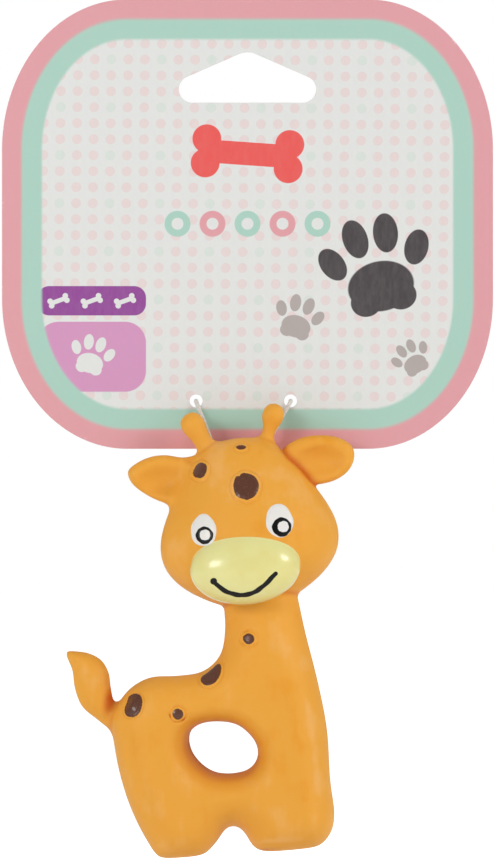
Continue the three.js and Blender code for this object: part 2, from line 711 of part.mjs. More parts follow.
/** The reed's trough, with a plug that goes down the cup's air hole. */
function reedShoe() {
  const floorY = cupFloor - cupLength + seatClearance;
  const block = new THREE.BoxGeometry(shoeWidth, shoeLength, shoeHeight);
  const blockSolid = toSolid(block, placement(0, floorY + shoeLength / 2, 0));
  const plugEnd = new THREE.Vector3(0, -cupLength, 0);
  const plugTop = new THREE.Vector3(0, floorY + shoeChannelDepth, 0);
  const plug = cylinderBetween(plugEnd, plugTop, airHoleDiameter - 2 * seatClearance, 20);
  const channel = new THREE.BoxGeometry(shoeChannelWidth, shoeLength, shoeHeight);
  const channelZ = shoeHeight - shoeChannelDepth;
  const channelSolid = toSolid(channel, placement(0, floorY + shoeLength / 2 + shoeChannelDepth, channelZ));
  const airEnd = new THREE.Vector3(0, -cupLength - cutOverrun, 0);
  const airTop = new THREE.Vector3(0, floorY + shoeChannelDepth + cutOverrun, 0);
  const air = cylinderBetween(airEnd, airTop, shoeAirBore, 12);
  return toGeometry(blockSolid.add(plug).subtract(channelSolid).subtract(air));
}

/** The thin reed over the trough. */
function reedTongue() {
  return new THREE.BoxGeometry(reedWidth, reedLength, reedThickness);
}

/** A named mesh with its own finish. */
function piece(name, geometry, color, roughness) {
  const material = new THREE.MeshStandardMaterial({ color, roughness, metalness: 0 });
  const mesh = new THREE.Mesh(geometry, material);
  mesh.name = name;
  return mesh;
}

/** The squeaker's pieces about the middle of the flange's outer face, with the cup to the front. */
function squeaker() {
  const group = new THREE.Group();
  group.position.set(squeakerX, seatY, squeakerZ);
  const tongue = piece("reed_tongue", reedTongue(), "#e8c9a0", 0.4);
  const reedY = cupFloor - cupLength + 2 * seatClearance + reedLength / 2;
  tongue.position.set(0, reedY, shoeHeight / 2 + seatClearance + reedThickness / 2);
  group.add(
    piece("squeaker_cup", squeakerCup(), "#f1efe8", 0.4),
    piece("squeaker_cap", squeakerCap(), "#f1efe8", 0.4),
    piece("reed_shoe", reedShoe(), "#d9d9d4", 0.45),
    tongue,
  );
  return group;
}

/** The toy with its squeaker, placed as it hangs against the card. */
function toy() {
  const group = new THREE.Group();
  group.position.setFromMatrixPosition(toyPlacement(toyY));
  group.rotation.y = -toyTilt;
  group.add(piece("latex_skin", toGeometry(latexSkin()), "#e7a245", 0.45), squeaker());
  return group;
}

const pack = new THREE.Group();
pack.add(
  piece("hang_card", hangCard(), "#e0dcda", 0.6),
  piece("tie_cord", cordAlong(tieRoute, 56), "#d8d8da", 0.35),
  piece("tie_knot", tieKnot(), "#d8d8da", 0.35),
  toy(),
);

export default pack;
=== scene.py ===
"""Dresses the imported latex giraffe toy, its elastic tie and its hang card.

Forms are worked out in millimetres, in the row's frame, in the toy's (soles at zero, leaning four
degrees) and in the head's. Finished meshes are in metres in the row's frame, with their objects at
the origin.
"""
import logging
import math
from collections.abc import Callable, Sequence
from dataclasses import dataclass, field
from enum import Enum

import bmesh
import bpy
import numpy as np
from mathutils import Matrix, Vector

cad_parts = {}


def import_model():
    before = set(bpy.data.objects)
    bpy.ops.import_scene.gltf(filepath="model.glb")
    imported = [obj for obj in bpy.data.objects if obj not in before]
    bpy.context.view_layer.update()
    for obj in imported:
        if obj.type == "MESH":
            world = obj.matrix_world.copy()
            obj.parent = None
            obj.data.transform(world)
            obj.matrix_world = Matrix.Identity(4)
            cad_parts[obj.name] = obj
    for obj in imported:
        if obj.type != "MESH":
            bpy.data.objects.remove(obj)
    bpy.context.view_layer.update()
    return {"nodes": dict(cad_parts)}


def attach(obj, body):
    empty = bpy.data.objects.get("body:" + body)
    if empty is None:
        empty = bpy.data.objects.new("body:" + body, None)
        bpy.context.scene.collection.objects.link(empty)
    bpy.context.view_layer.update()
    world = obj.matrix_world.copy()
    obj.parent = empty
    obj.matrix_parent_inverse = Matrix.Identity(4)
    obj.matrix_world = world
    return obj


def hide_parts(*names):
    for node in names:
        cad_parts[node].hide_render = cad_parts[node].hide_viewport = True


LOG = logging.getLogger("giraffe_toy")
MM = 0.001
# Depth inside a mark, in millimetres, that is given to places where the mark can't be
OUTSIDE = -9.0
# Takes the depth out of a place, so that only its across and up are left
FLAT = (1.0, 0.0, 1.0)
# The card's two cord holes: their places across and how far they are below the slot's apex
CORD_HOLES = (-14.7, 12.3)
CORD_DROP = 100.1

Pair = tuple[float, float]
Triple = tuple[float, float, float]
Numbers = np.ndarray | float
Colour = Triple
LampSpec = tuple[str, float, float, float, Pair, float]
Socket = bpy.types.NodeSocket


def painted(red: int, green: int, blue: int) -> Colour:
    """A colour read off a picture, 0 to 255, as the linear value that a shader takes."""
    shares = [value / 255 for value in (red, green, blue)]
    return tuple(s / 12.92 if s <= 0.04045 else ((s + 0.055) / 1.055) ** 2.4 for s in shares)


def eased(values: np.ndarray, low: float, high: float) -> np.ndarray:
    """Zero below low, one above high and smooth between.

    Args:
        values: Numbers to ease.
        low: Where the rise starts.
        high: Where the rise ends.

    Returns:
        The eased shares.
    """
    share = np.clip((values - low) / (high - low), 0, 1)
    return share * share * (3 - 2 * share)


def leaned(x: Numbers, y: Numbers, z: Numbers, lean: float) -> tuple[Numbers, Numbers, Numbers]:
    """Places measured along axes that lean about Y by an angle in radians."""
    cos, sin = math.cos(lean), math.sin(lean)
    return x * cos + z * sin, y, z * cos - x * sin


def egg(places: np.ndarray, halves: Triple) -> np.ndarray:
    """The field of an egg shape, negative inside.

    Args:
        places: Places measured from its middle in millimetres, one to a row.
        halves: Its half sizes in millimetres.

    Returns:
        The field at each place.
    """
    local = places / np.array(halves)
    size, slope = np.linalg.norm(local, axis=1), np.linalg.norm(local / np.array(halves), axis=1)
    return size * (size - 1) / np.maximum(slope, 1e-6)


# Frames and outlines


@dataclass(frozen=True)
class Placing:
    """A frame of its own inside the row: an origin in millimetres and a lean about Y in radians."""

    origin: Triple
    lean: float

    def inward(self, points: np.ndarray) -> np.ndarray:
        """Row points, in millimetres, measured in this frame."""
        return np.column_stack(leaned(*(points - np.array(self.origin)).T, self.lean))

    def outward(self, x: float, y: float, z: float) -> Vector:
        """A point of this frame in the row, in millimetres."""
        return Vector(self.origin) + Vector(leaned(x, y, z, -self.lean))

    def matrix(self) -> Matrix:
        """The placing as a matrix in metres."""
        return Matrix.Translation(Vector(self.origin) * MM) @ Matrix.Rotation(-self.lean, 4, "Y")


TOY = Placing((-6.4, -8.7227, -229.7), math.radians(4))
HEAD = Placing(tuple(TOY.outward(13, 0, 92)), math.radians(7.5))

BODY_LENGTH, BODY_HEIGHT, BODY_START = 61.4, 79.6, 0.48
BODY_SHARES = (
    (0.59, 1.0), (0.557, 0.894), (0.554, 0.811), (0.522, 0.716), (0.438, 0.663), (0.32, 0.653),
    (0.19, 0.654), (0.098, 0.622), (0.038, 0.573), (0.0, 0.517), (0.001, 0.431), (0.019, 0.315),
    (0.059, 0.19), (0.123, 0.071), (0.178, 0.006), (0.271, -0.006), (0.379, 0.006), (0.448, 0.052),
    (0.494, 0.096), (0.534, 0.103), (0.572, 0.083), (0.618, 0.02), (0.691, -0.006), (0.812, -0.006),
    (0.921, 0.01), (0.981, 0.058), (1.0, 0.118), (0.992, 0.241), (0.993, 0.428), (0.965, 0.602),
    (0.924, 0.777), (0.896, 0.922), (0.874, 0.995),
)
TAIL_SHARES = (
    (0.073, 0.499), (0.046, 0.565), (0.017, 0.577), (0.005, 0.625), (-0.001, 0.683),
    (-0.032, 0.729), (-0.088, 0.756), (-0.13, 0.764), (-0.168, 0.768), (-0.189, 0.768),
    (-0.191, 0.756), (-0.168, 0.699), (-0.162, 0.634), (-0.135, 0.568), (-0.066, 0.515),
    (-0.004, 0.471), (0.048, 0.428),
)
HEAD_SHARES = (
    (0, -0.455), (0.235, -0.446), (0.412, -0.417), (0.588, -0.37), (0.745, -0.314), (0.875, -0.248),
    (0.965, -0.171), (1, -0.083), (0.984, 0), (0.929, 0.083), (0.847, 0.169), (0.753, 0.252),
    (0.651, 0.331), (0.557, 0.397), (0.478, 0.45), (0.369, 0.5), (0.196, 0.537), (0, 0.5475),
)
LEFT_HORN_SHARES = (
    (0, -0.35), (1.2, -0.35), (1.02, -0.08), (0.86, 0.16), (0.78, 0.4), (0.83, 0.62), (0.98, 0.86),
    (1, 1.03), (0.9, 1.19), (0.56, 1.33), (0, 1.38),
)
RIGHT_HORN_SHARES = (
    (0, -0.35), (1.3, -0.35), (1.02, -0.08), (0.74, 0.16), (0.59, 0.4), (0.67, 0.62), (0.94, 0.86),
    (1, 1.04), (0.9, 1.2), (0.56, 1.35), (0, 1.41),
)
HOLE_POINTS = (
    (-8.03, 33.16), (-7.68, 35.06), (-6.93, 36.37), (-4.64, 37.86), (-1.86, 38.43), (1.15, 38.38),
    (4.13, 37.9), (6.8, 36.78), (9.12, 34.7), (10.76, 32.4), (11.48, 30.15), (11.46, 28.24),
    (10.91, 26.63), (9.52, 24.81), (7.52, 23.58), (4.74, 23.01), (2.27, 22.96), (-0.71, 23.44),
    (-3.1, 24.6), (-5.42, 26.68), (-7.16, 29.27), (-7.84, 31.23),
)
LEFT_EAR_SHARES = (
    (-0.02, 0.37), (0.18, 0.44), (0.39, 0.524), (0.6, 0.524), (0.8, 0.437), (0.93, 0.316),
    (0.945, 0.22), (0.906, 0.046), (0.793, -0.14), (0.61, -0.34), (0.43, -0.455), (0.2, -0.44),
    (-0.05, -0.286), (-0.125, 0.03),
)
RIGHT_EAR_SHARES = (
    (0, 0.33), (0.107, 0.434), (0.3, 0.52), (0.547, 0.516), (0.784, 0.43), (0.955, 0.254),
    (0.997, 0.08), (0.964, -0.118), (0.86, -0.304), (0.675, -0.434), (0.455, -0.475),
    (0.2, -0.457), (-0.05, -0.286), (-0.125, 0.03),
)


def smooth_curve(points: np.ndarray, closed: bool, per_span: int = 8) -> np.ndarray:
    """An evenly eased curve through points, without loops or overshoot at short spans.

    Args:
        points: Points that the curve passes, one to a row.
        closed: Whether the curve returns to its first point.
        per_span: Points made between one given point and the next.

    Returns:
        The curve's points. A closed curve doesn't repeat its first one.
    """
    points = np.asarray(points, float)
    if closed:
        padded = np.vstack([points[-1], points, points[:2]])
    else:
        padded = np.vstack([2 * points[0] - points[1], points, 2 * points[-1] - points[-2]])
    made = []
    for before, first, second, after in zip(padded, padded[1:], padded[2:], padded[3:]):
        steps = (first - before, second - first, after - second)
        lead, span, trail = (math.sqrt(np.linalg.norm(step)) or 1 for step in steps)
        start = (first - before) / lead - (second - before) / (lead + span) + (second - first) / span
        end = (second - first) / span - (after - first) / (span + trail) + (after - second) / trail
        for share in np.arange(per_span) / per_span:
            square, cube = share**2, share**3
            made.append(
                (2 * cube - 3 * square + 1) * first + (cube - 2 * square + share) * (start * span)
                + (3 * square - 2 * cube) * second + (cube - square) * (end * span)
            )
    if not closed:
        made.append(points[-1])
    return np.array(made)


def gaps_to(places: np.ndarray, starts: np.ndarray, spans: np.ndarray) -> np.ndarray:
    """Distances from places of a plane to the nearest of some straight spans.

    Args:
        places: The places, one to a row.
        starts: Where each span starts.
        spans: How far and which way each span goes.

    Returns:
        One distance for each place.
    """
    offsets = places[:, None] - starts[None]
    lengths = np.maximum((spans**2).sum(1), 1e-12)
    shares = np.clip((offsets * spans).sum(2) / lengths, 0, 1)
    return np.linalg.norm(offsets - shares[..., None] * spans, axis=2).min(1)


class OutlineMap:
    """How far inside a closed outline each place of a plane lies, softened along its ridges.

    Its grid reaches a margin in millimetres past the outline and is worked out in batches of places.
    """

    margin: int = 9
    batch: int = 20000

    def __init__(self, outline: np.ndarray, softness: float, step: float = 0.3) -> None:
        """Works the distances out on a fine grid.

        Args:
            outline: The closed outline in millimetres.
            softness: Width in millimetres over which ridges and sharp corners are rounded.
            step: Grid spacing in millimetres.
        """
        self.step = step
        self.low = outline.min(0) - self.margin
        counts = np.ceil((outline.max(0) + self.margin - self.low) / step).astype(int) + 1
        across, up = (self.low[axis] + step * np.arange(counts[axis]) for axis in (0, 1))
        places = np.stack(np.meshgrid(across, up, indexing="ij"), -1).reshape(-1, 2)
        starts, spans = outline, np.roll(outline, -1, 0) - outline
        found = np.empty(len(places))
        for first in range(0, len(places), self.batch):
            part = places[first:first + self.batch]
            gaps = gaps_to(part, starts, spans)
            offsets = part[:, None] - starts[None]
            above = starts[None, :, 1] > part[:, None, 1]
            crossing = above != np.roll(above, -1, 1)
            reach = offsets[..., 1] * spans[:, 0] / np.where(spans[:, 1] == 0, 1e-9, spans[:, 1])
            odd = (crossing & (offsets[..., 0] < reach)).sum(1) % 2 == 1
            found[first:first + self.batch] = np.where(odd, gaps, -gaps)
        self.grid = self._soften(found.reshape(counts), softness / step)

    @staticmethod
    def _soften(grid: np.ndarray, width: float) -> np.ndarray:
        """The grid blurred along both of its axes.

        Args:
            grid: Values on an even grid.
            width: Spread of the blur in grid steps.

        Returns:
            The blurred values.
        """
        reach = int(math.ceil(3 * width))
        weights = np.exp(-0.5 * (np.arange(-reach, reach + 1) / max(width, 1e-6)) ** 2)
        weights /= weights.sum()
        for axis in (0, 1):
            edges = [(reach, reach) if other == axis else (0, 0) for other in (0, 1)]
            padded = np.pad(grid, edges, mode="edge")
            size = grid.shape[axis]
            shifted = (padded.take(range(start, start + size), axis) for start in range(len(weights)))
            grid = sum(weight * values for weight, values in zip(weights, shifted))
        return grid

    def inside(self, across: np.ndarray, up: np.ndarray) -> np.ndarray:
        """Reads the softened distances to the outline.

        Args:
            across: Places across the plane in millimetres.
            up: Places up it in millimetres.

        Returns:
            Distances in millimetres, positive inside.
        """
        places = np.stack([across, up], 1)
        spots = np.clip((places - self.low) / self.step, 0, np.array(self.grid.shape) - 1.001)
        cells = spots.astype(int)
        (column, row), (right, above) = cells.T, (spots - cells).T
        grid = self.grid
        lower = grid[column, row] * (1 - right) + grid[column + 1, row] * right
        upper = grid[column, row + 1] * (1 - right) + grid[column + 1, row + 1] * right
        return lower * (1 - above) + upper * above


def outline_of(
    shares: Sequence[Sequence[float]], width: float, height: float, start: float = 0.0,
) -> np.ndarray:
    """A smooth closed outline from shares of a width and a height."""
    points = (np.array(shares, float) - (start, 0)) * (width, height)
    return smooth_curve(points, closed=True)


def half_profile(shares: Sequence[Sequence[float]], width: float, height: float) -> np.ndarray:
    """A smooth open profile from shares of a width and a height."""
    return smooth_curve(np.array(shares, float) * (width, height), closed=False)


def mirrored(shares: Sequence[Sequence[float]], width: float, height: float) -> np.ndarray:
    """A closed outline from a half profile about the upright axis."""
    half = half_profile(shares, width, height)
    return np.vstack([half, half[-2:0:-1] * (-1, 1)])


# Forms of the toy


def joined(one: np.ndarray, other: np.ndarray, fillet: float) -> np.ndarray:
    """Two fields as one, with a fillet about as wide as named where they meet."""
    near = np.maximum(fillet - np.abs(one - other), 0) / fillet
    return np.minimum(one, other) - near * near * fillet / 4


def cut_by(whole: np.ndarray, cutter: np.ndarray, edge: float) -> np.ndarray:
    """A field without what lies in another one, with its edge rounded over a width."""
    return -joined(-whole, cutter, edge)


def fold_shade(one: np.ndarray, other: np.ndarray, shade_and_stain: Pair) -> np.ndarray:
    """How much shade is painted where two forms meet, by the shade's strength and width."""
    strength, width = shade_and_stain
    return strength * np.maximum(1 - np.maximum(np.maximum(one, other), 0) / width, 0) ** 2


@dataclass
class GiraffeForm:
    """The smooth outer shape of the toy as a field: negative inside, zero on the surface.

    Sizes are in millimetres. A horn is the x and z of its foot and then of its ball. The neck thins
    between two shares of the body's height. The hole's wall sets in between two depths inside the
    hole's outline. A fold's shade is the strength and width of the shade painted where two forms
    meet, and the wall's shade is the strength of the shade painted on the hole's wall.
    """

    depth: float = 28.0
    neck_depth: float = 21.0
    neck_span: Pair = (0.6, 0.86)
    edge: float = 10.5
    hole_edge: float = 6.5
    wall_span: Pair = (-2.6, -0.3)
    fullness: float = 2.3
    hole_shift: Pair = (0.075, 0.085)
    head_width: float = 51.0
    head_height: float = 48.4
    head_depth: float = 38.8
    muzzle: Triple = (15.7, 7.5, 10.3)
    muzzle_place: Triple = (-2.2, -15.5, -10.6)
    muzzle_lean: float = math.radians(-3)
    horn_radii: Pair = (3.35, 3.05)
    horns: tuple[tuple[float, ...], ...] = ((-7.9, 23.5, -11.7, 31.9), (7.9, 23.2, 11.3, 31.4))
    ear_root: Pair = (13.0, 17.0)
    ear_size: Triple = (20.0, 5.2, 14.0)
    dish: Triple = (8.2, 5.2, 4.9)
    dish_place: Triple = (9.6, -5.3, -0.4)
    dish_edge: float = 2.0
    tail_depth: float = 9.0
    tail_edge: float = 4.6
    tail_fillet: float = 1.8
    horn_fillet: float = 2.2
    ear_fillets: Pair = (3.4, 1.2)
    muzzle_fillet: float = 0.7
    neck_fillet: float = 1.6
    sole_edge: float = 1.4
    # Painted shade: the strength and width of the shade where forms meet, and its strength on the belly
    # hole's wall
    tail_shade: Pair = (0.6, 3.2)
    horn_shade: Pair = (0.7, 2.2)
    ear_shades: tuple[Pair, Pair] = ((0.22, 2.6), (1.0, 3.6))
    neck_shade: Pair = (0.8, 2.6)
    wall_shade: float = 0.42

    def __post_init__(self) -> None:
        """Draws the outlines that the forms are blown up from."""
        self.hole_map = OutlineMap(smooth_curve(np.array(HOLE_POINTS), closed=True), softness=0.3)
        body = outline_of(BODY_SHARES, BODY_LENGTH, BODY_HEIGHT, BODY_START)
        self.body_map = OutlineMap(body, softness=1.1)
        tail = outline_of(TAIL_SHARES, BODY_LENGTH, BODY_HEIGHT, BODY_START)
        self.tail_map = OutlineMap(tail, softness=0.45, step=0.25)
        head = mirrored(HEAD_SHARES, self.head_width / 2, self.head_height)
        self.head_map = OutlineMap(head, softness=0.5)
        length, _, width = self.ear_size
        leaves = [outline_of(shares, length, width) for shares in (LEFT_EAR_SHARES, RIGHT_EAR_SHARES)]
        self.ear_maps = [OutlineMap(leaf, softness=0.35, step=0.25) for leaf in leaves]
        self.horn_maps = []
        sides = zip(self.horns, self.horn_radii, (LEFT_HORN_SHARES, RIGHT_HORN_SHARES))
        for (foot_x, foot_z, ball_x, ball_z), radius, shares in sides:
            length = math.hypot(ball_x - foot_x, ball_z - foot_z)
            club = mirrored(shares, radius, length)
            self.horn_maps.append(OutlineMap(club, softness=0.2, step=0.2))

    def pillow(self, inside: np.ndarray, y: np.ndarray, half_depth: float, edge: float) -> np.ndarray:
        """A flat outline blown up like a pillow, with elliptical edges."""
        roll = np.maximum(1 - inside / edge, 0)
        return (np.hypot(roll, y / half_depth) - 1) * edge

    def from_hole(self, points: np.ndarray) -> np.ndarray:
        """How far outside the belly's hole, which slants a little, each point of the toy's frame lies."""
        x, y, z = points.T
        return -self.hole_map.inside(x - self.hole_shift[0] * y, z - self.hole_shift[1] * y)

    def trunk(self, points: np.ndarray) -> np.ndarray:
        """Body, legs and neck with the hole through the belly, in the toy's frame.

        Args:
            points: Points of the toy's frame.

        Returns:
            The field, negative inside.
        """
        x, y, z = points.T
        draw = eased(z / BODY_HEIGHT, *self.neck_span)
        half_depth = (self.depth + (self.neck_depth - self.depth) * draw) / 2
        outer = np.maximum(1 - self.body_map.inside(x, z) / self.edge, 0)
        inner = np.maximum(1 - self.from_hole(points) / self.hole_edge, 0)
        power = self.fullness
        whole = (outer**power + inner**power + np.abs(y / half_depth) ** power) ** (1 / power)
        return (whole - 1) * self.edge

    def hole_wall(self, points: np.ndarray) -> np.ndarray:
        """The share, 0 to 1, to which each point of the toy's frame lies on the belly hole's wall."""
        return eased(-self.from_hole(points), *self.wall_span)

    def skull(self, points: np.ndarray) -> np.ndarray:
        """The pear-shaped head, in the head's frame."""
        x, y, z = points.T
        return -self.head_map.inside(np.hypot(x, y * self.head_width / self.head_depth), z)

    def snout(self, points: np.ndarray) -> np.ndarray:
        """The puffed muzzle, in the head's frame."""
        local = leaned(*(points - np.array(self.muzzle_place)).T, self.muzzle_lean)
        return egg(np.column_stack(local), self.muzzle)

    def horn(self, points: np.ndarray, index: int) -> np.ndarray:
        """One horn with its ball, in the head's frame.

        Args:
            points: Points of the head's frame.
            index: 0 for the left horn, 1 for the right one.

        Returns:
            The field, negative inside.
        """
        foot_x, foot_z, ball_x, ball_z = self.horns[index]
        along = np.array([ball_x - foot_x, ball_z - foot_z])
        along /= np.linalg.norm(along)
        x, z = points[:, 0] - foot_x, points[:, 2] - foot_z
        up = x * along[0] + z * along[1]
        out = np.hypot(x * along[1] - z * along[0], points[:, 1])
        return -self.horn_maps[index].inside(out, up)

    def ear(self, points: np.ndarray, index: int) -> np.ndarray:
        """One cupped ear, in the head's frame.

        Args:
            points: Points of the head's frame.
            index: 0 for the left ear, 1 for the right one.

        Returns:
            The field, negative inside.
        """
        side = (-1, 1)[index]
        x, y, z = side * points[:, 0] - self.ear_root[0], points[:, 1], points[:, 2] - self.ear_root[1]
        half = self.ear_size[1] / 2
        leaf = self.pillow(self.ear_maps[index].inside(x, z), y, half, half)
        dish = egg(np.column_stack([x, y, z]) - np.array(self.dish_place), self.dish)
        return cut_by(leaf, dish, self.dish_edge)

    def measure(self, points: np.ndarray) -> tuple[np.ndarray, np.ndarray, np.ndarray]:
        """The field at row points in millimetres.

        Args:
            points: Row points, one to a row.

        Returns:
            The field, the shade painted on each point where forms meet and on the hole's wall, and how far
            onto the muzzle it is.
        """
        on_toy, on_head = TOY.inward(points), HEAD.inward(points)
        trunk = self.trunk(on_toy)
        tail_inside = self.tail_map.inside(on_toy[:, 0], on_toy[:, 2])
        tail = self.pillow(tail_inside, on_toy[:, 1], self.tail_depth / 2, self.tail_edge)
        body = joined(trunk, tail, self.tail_fillet)
        # Painted shade where forms meet and on the belly hole's wall
        fold_shades = [fold_shade(trunk, tail, self.tail_shade), self.wall_shade * self.hole_wall(on_toy)]
        head = self.skull(on_head)
        for index in (0, 1):
            horn, ear = self.horn(on_head, index), self.ear(on_head, index)
            fold_shades.append(fold_shade(head, horn, self.horn_shade))
            fold_shades.append(fold_shade(head, ear, self.ear_shades[index]))
            head = joined(joined(head, horn, self.horn_fillet), ear, self.ear_fillets[index])
        snout = self.snout(on_head)
        muzzle = np.where(on_head[:, 1] < -4, np.minimum(head, body) - snout, OUTSIDE)
        face = joined(head, snout, self.muzzle_fillet)
        fold_shades.append(fold_shade(face, body, self.neck_shade))
        whole = joined(face, body, self.neck_fillet)
        return cut_by(whole, on_toy[:, 2], self.sole_edge), np.max(fold_shades, axis=0), muzzle

    def value(self, points: np.ndarray) -> np.ndarray:
        """The field alone."""
        return self.measure(points)[0]

    def settled(self, points: np.ndarray, passes: int = 4, longest: float = 1.2) -> np.ndarray:
        """Moves row points along the field's slope onto the surface.

        Args:
            points: Row points in millimetres.
            passes: How many times they are moved.
            longest: Longest move of one pass, in millimetres.

        Returns:
            The moved points.
        """
        probe, flattest = 0.08, 0.08
        for _ in range(passes):
            value = self.value(points)
            slope = np.column_stack([
                (self.value(points + probe * axis) - self.value(points - probe * axis)) / (2 * probe)
                for axis in np.eye(3)
            ])
            steep = np.maximum((slope**2).sum(1), flattest)
            move = -slope * (value / steep)[:, None]
            length = np.maximum(np.linalg.norm(move, axis=1), 1e-9)
            points = points + move * (np.minimum(length, longest) / length)[:, None]
        return points


class Side(Enum):
    """Which face of the toy a mark is on."""

    FRONT = -1
    BACK = 1


@dataclass
class Spot:
    """A hand-painted spot on a low moulded disc, by its closed outline in a frame's millimetres."""

    frame: Placing
    outline: Sequence[Sequence[float]]
    rim: float = 0.75
    lift: float = 0.34
    dome: float = 0.0
    stain: float = 0.15
    side: Side = Side.FRONT
    shape: OutlineMap = field(init=False)

    def __post_init__(self) -> None:
        """Works out the distances to the outline."""
        edge = smooth_curve(np.array(self.outline), closed=True)
        self.shape = OutlineMap(edge, softness=0.12, step=0.15)

    def painted(self, points: np.ndarray) -> np.ndarray:
        """How far inside the hand-painted edge each point lies.

        Args:
            points: Row points in millimetres.

        Returns:
            Distances in millimetres, positive inside.
        """
        x, y, z = self.frame.inward(points).T
        brushed = 0.03 * np.sin(9.1 * x + 3.7 * z) + 0.03 * np.sin(8.3 * z - 2.9 * x)
        return np.where(y * self.side.value < 1, OUTSIDE, self.shape.inside(x, z) + brushed)

    def relief(self, points: np.ndarray) -> np.ndarray:
        """How far the moulded disc and its groove stand out or in.

        Args:
            points: Row points in millimetres.

        Returns:
            Heights in millimetres.
        """
        inside = self.painted(points)
        gap = inside + self.rim
        disc = eased(gap, -0.2, 0.5)
        groove = np.exp(-(((gap + 0.3) / 0.24) ** 2))
        thick = 0.22 * eased(inside, -0.1, 0.85)
        trough = np.exp(-(((inside - 0.55) / 0.2) ** 2))
        raised = self.dome * (eased(inside, 0.7, 2.5) - 0.45 * trough)
        return self.lift * disc - 0.2 * groove + thick + raised

    def smudged(self, points: np.ndarray) -> np.ndarray:
        """How much brown paint has run into the ring around the disc.

        Args:
            points: Row points in millimetres.

        Returns:
            Shares from 0 to 1.
        """
        x, _, z = self.frame.inward(points).T
        gap = self.painted(points) + self.rim
        patchy = eased(np.sin(1.9 * x + 0.8 * z) + np.sin(2.3 * z - 1.1 * x), 0.2, 1.5)
        return self.stain * np.exp(-(((gap + 0.05) / 0.32) ** 2)) * (0.35 + 0.65 * patchy)


@dataclass(frozen=True)
class Eye:
    """A white egg with a black ring in the head's millimetres; ring and pupil are x, z and radius."""

    x: float
    z: float
    width: float
    height: float
    lean: float
    ring: Triple
    pupil: Triple
    taper: float = 0.1

    def white(self, points: np.ndarray) -> np.ndarray:
        """How far inside the white egg each point lies.

        Args:
            points: Row points in millimetres.

        Returns:
            Distances in millimetres, positive inside.
        """
        x, y, z = HEAD.inward(points).T
        across, _, up = leaned(x - self.x, y, z - self.z, self.lean)
        wide = self.width * (1 - self.taper * 2 * up / self.height)
        size = np.hypot(across / wide, up / self.height) * 2
        angle = np.arctan2(up, across)
        edge = (1 - size) * self.width / 2 + 0.06 * np.sin(5 * angle + self.x)
        return np.where(y < -3, edge, OUTSIDE)

    def black(self, points: np.ndarray) -> np.ndarray:
        """How far inside the black ring each point lies.

        Args:
            points: Row points in millimetres.

        Returns:
            Distances in millimetres, positive inside.
        """
        x, y, z = HEAD.inward(points).T
        angle = np.arctan2(z - self.ring[1], x - self.ring[0])
        wobble = 0.06 * np.sin(4 * angle + self.z) + 0.04 * np.sin(9 * angle)
        outer = self.ring[2] - np.hypot(x - self.ring[0], z - self.ring[1]) + wobble
        inner = np.hypot(x - self.pupil[0], z - self.pupil[1]) - self.pupil[2] + 0.7 * wobble
        return np.where(y < -3, np.minimum(outer, inner), OUTSIDE)


@dataclass(frozen=True)
class Patch:
    """A soft patch on the toy's front that lightens (positive) or deepens (negative) its colour."""

    x: float
    z: float
    width: float
    height: float
    lean: float
    strength: float

    def tone(self, points: np.ndarray) -> np.ndarray:
        """How strong the patch is at each point.

        Args:
            points: Row points in millimetres.

        Returns:
            Strengths, with the patch's own sign.
        """
        x, y, z = TOY.inward(points).T
        across, _, up = leaned(x - self.x, y, z - self.z, self.lean)
        return self.strength * np.exp(-((across / self.width) ** 2 + (up / self.height) ** 2) * 2)


def blot(x: float, z: float, width: float, height: float, seed: float) -> list[Pair]:
    """A slightly uneven oval outline about a middle, in millimetres.

    Args:
        x: Its middle across.
        z: Its middle up.
        width: Its width.
        height: Its height.
        seed: Any number, for its unevenness.

    Returns:
        The outline's points.
    """
    points = []
    for step in range(12):
        turn = step * math.pi / 6
        out = 0.5 + 0.025 * math.sin(2 * turn + seed) + 0.015 * math.sin(5 * turn + 2 * seed)
        points.append((x + width * out * math.cos(turn), z + height * out * math.sin(turn)))
    return points


FOREHEAD_SPOT = (
    (0.86, 16.4), (2.02, 16.11), (3.37, 15.45), (4.28, 14.38), (4.76, 12.98), (4.58, 11.57),
    (3.87, 10.23), (2.78, 9.18), (1.78, 8.83), (0.8, 8.67), (-0.24, 9.1), (-1.23, 9.56),
    (-2.07, 10.44), (-2.41, 11.53), (-2.5, 12.98), (-2.13, 14.36), (-1.72, 15.26), (-1.14, 15.71),
    (-0.33, 15.7), (0.06, 16.13),
)
BROW_SPOT = (
    (-10.73, 20.89), (-9.6, 20.36), (-9.26, 19.36), (-9.55, 18.21), (-10.27, 17.11),
    (-11.3, 16.52), (-12.47, 16.77), (-13.22, 17.25), (-13.47, 18.24), (-12.94, 19.37),
    (-12.14, 20.36), (-11.46, 20.8),
)
CROWN_SPOT = (
    (-0.39, 23.93), (0.23, 24.32), (1.2, 24.39), (2.11, 24.08), (2.62, 23.58), (2.08, 23.12),
    (1.03, 23.07), (0.02, 23.4),
)
NECK_SPOT = (
    (11.08, 62.79), (12.03, 62.34), (12.63, 61.47), (12.51, 60.5), (11.69, 59.79),
    (10.86, 59.62), (9.96, 60.13), (9.42, 61.04), (9.55, 62.02), (10.24, 62.52),
)
FLANK_SPOT = (
    (-10.74, 42.85), (-9.75, 42.5), (-9.1, 41.6), (-9.12, 40.6), (-9.83, 39.9),
    (-10.96, 39.68), (-11.75, 40.3), (-12.15, 41.3), (-11.65, 42.35),
)
NAPE_SPOT = (
    (2.44, 54.56), (2.7, 53.61), (2.36, 51.95), (1.6, 50.5), (0.5, 49.42), (-0.57, 48.87),
    (-1.6, 48.76), (-2.64, 49.12), (-3.3, 49.8), (-3.46, 50.6), (-3.15, 51.2),
    (-2.3, 51.85), (-1.05, 52.6), (0.12, 53.45), (1.05, 54.2), (1.85, 54.6),
)
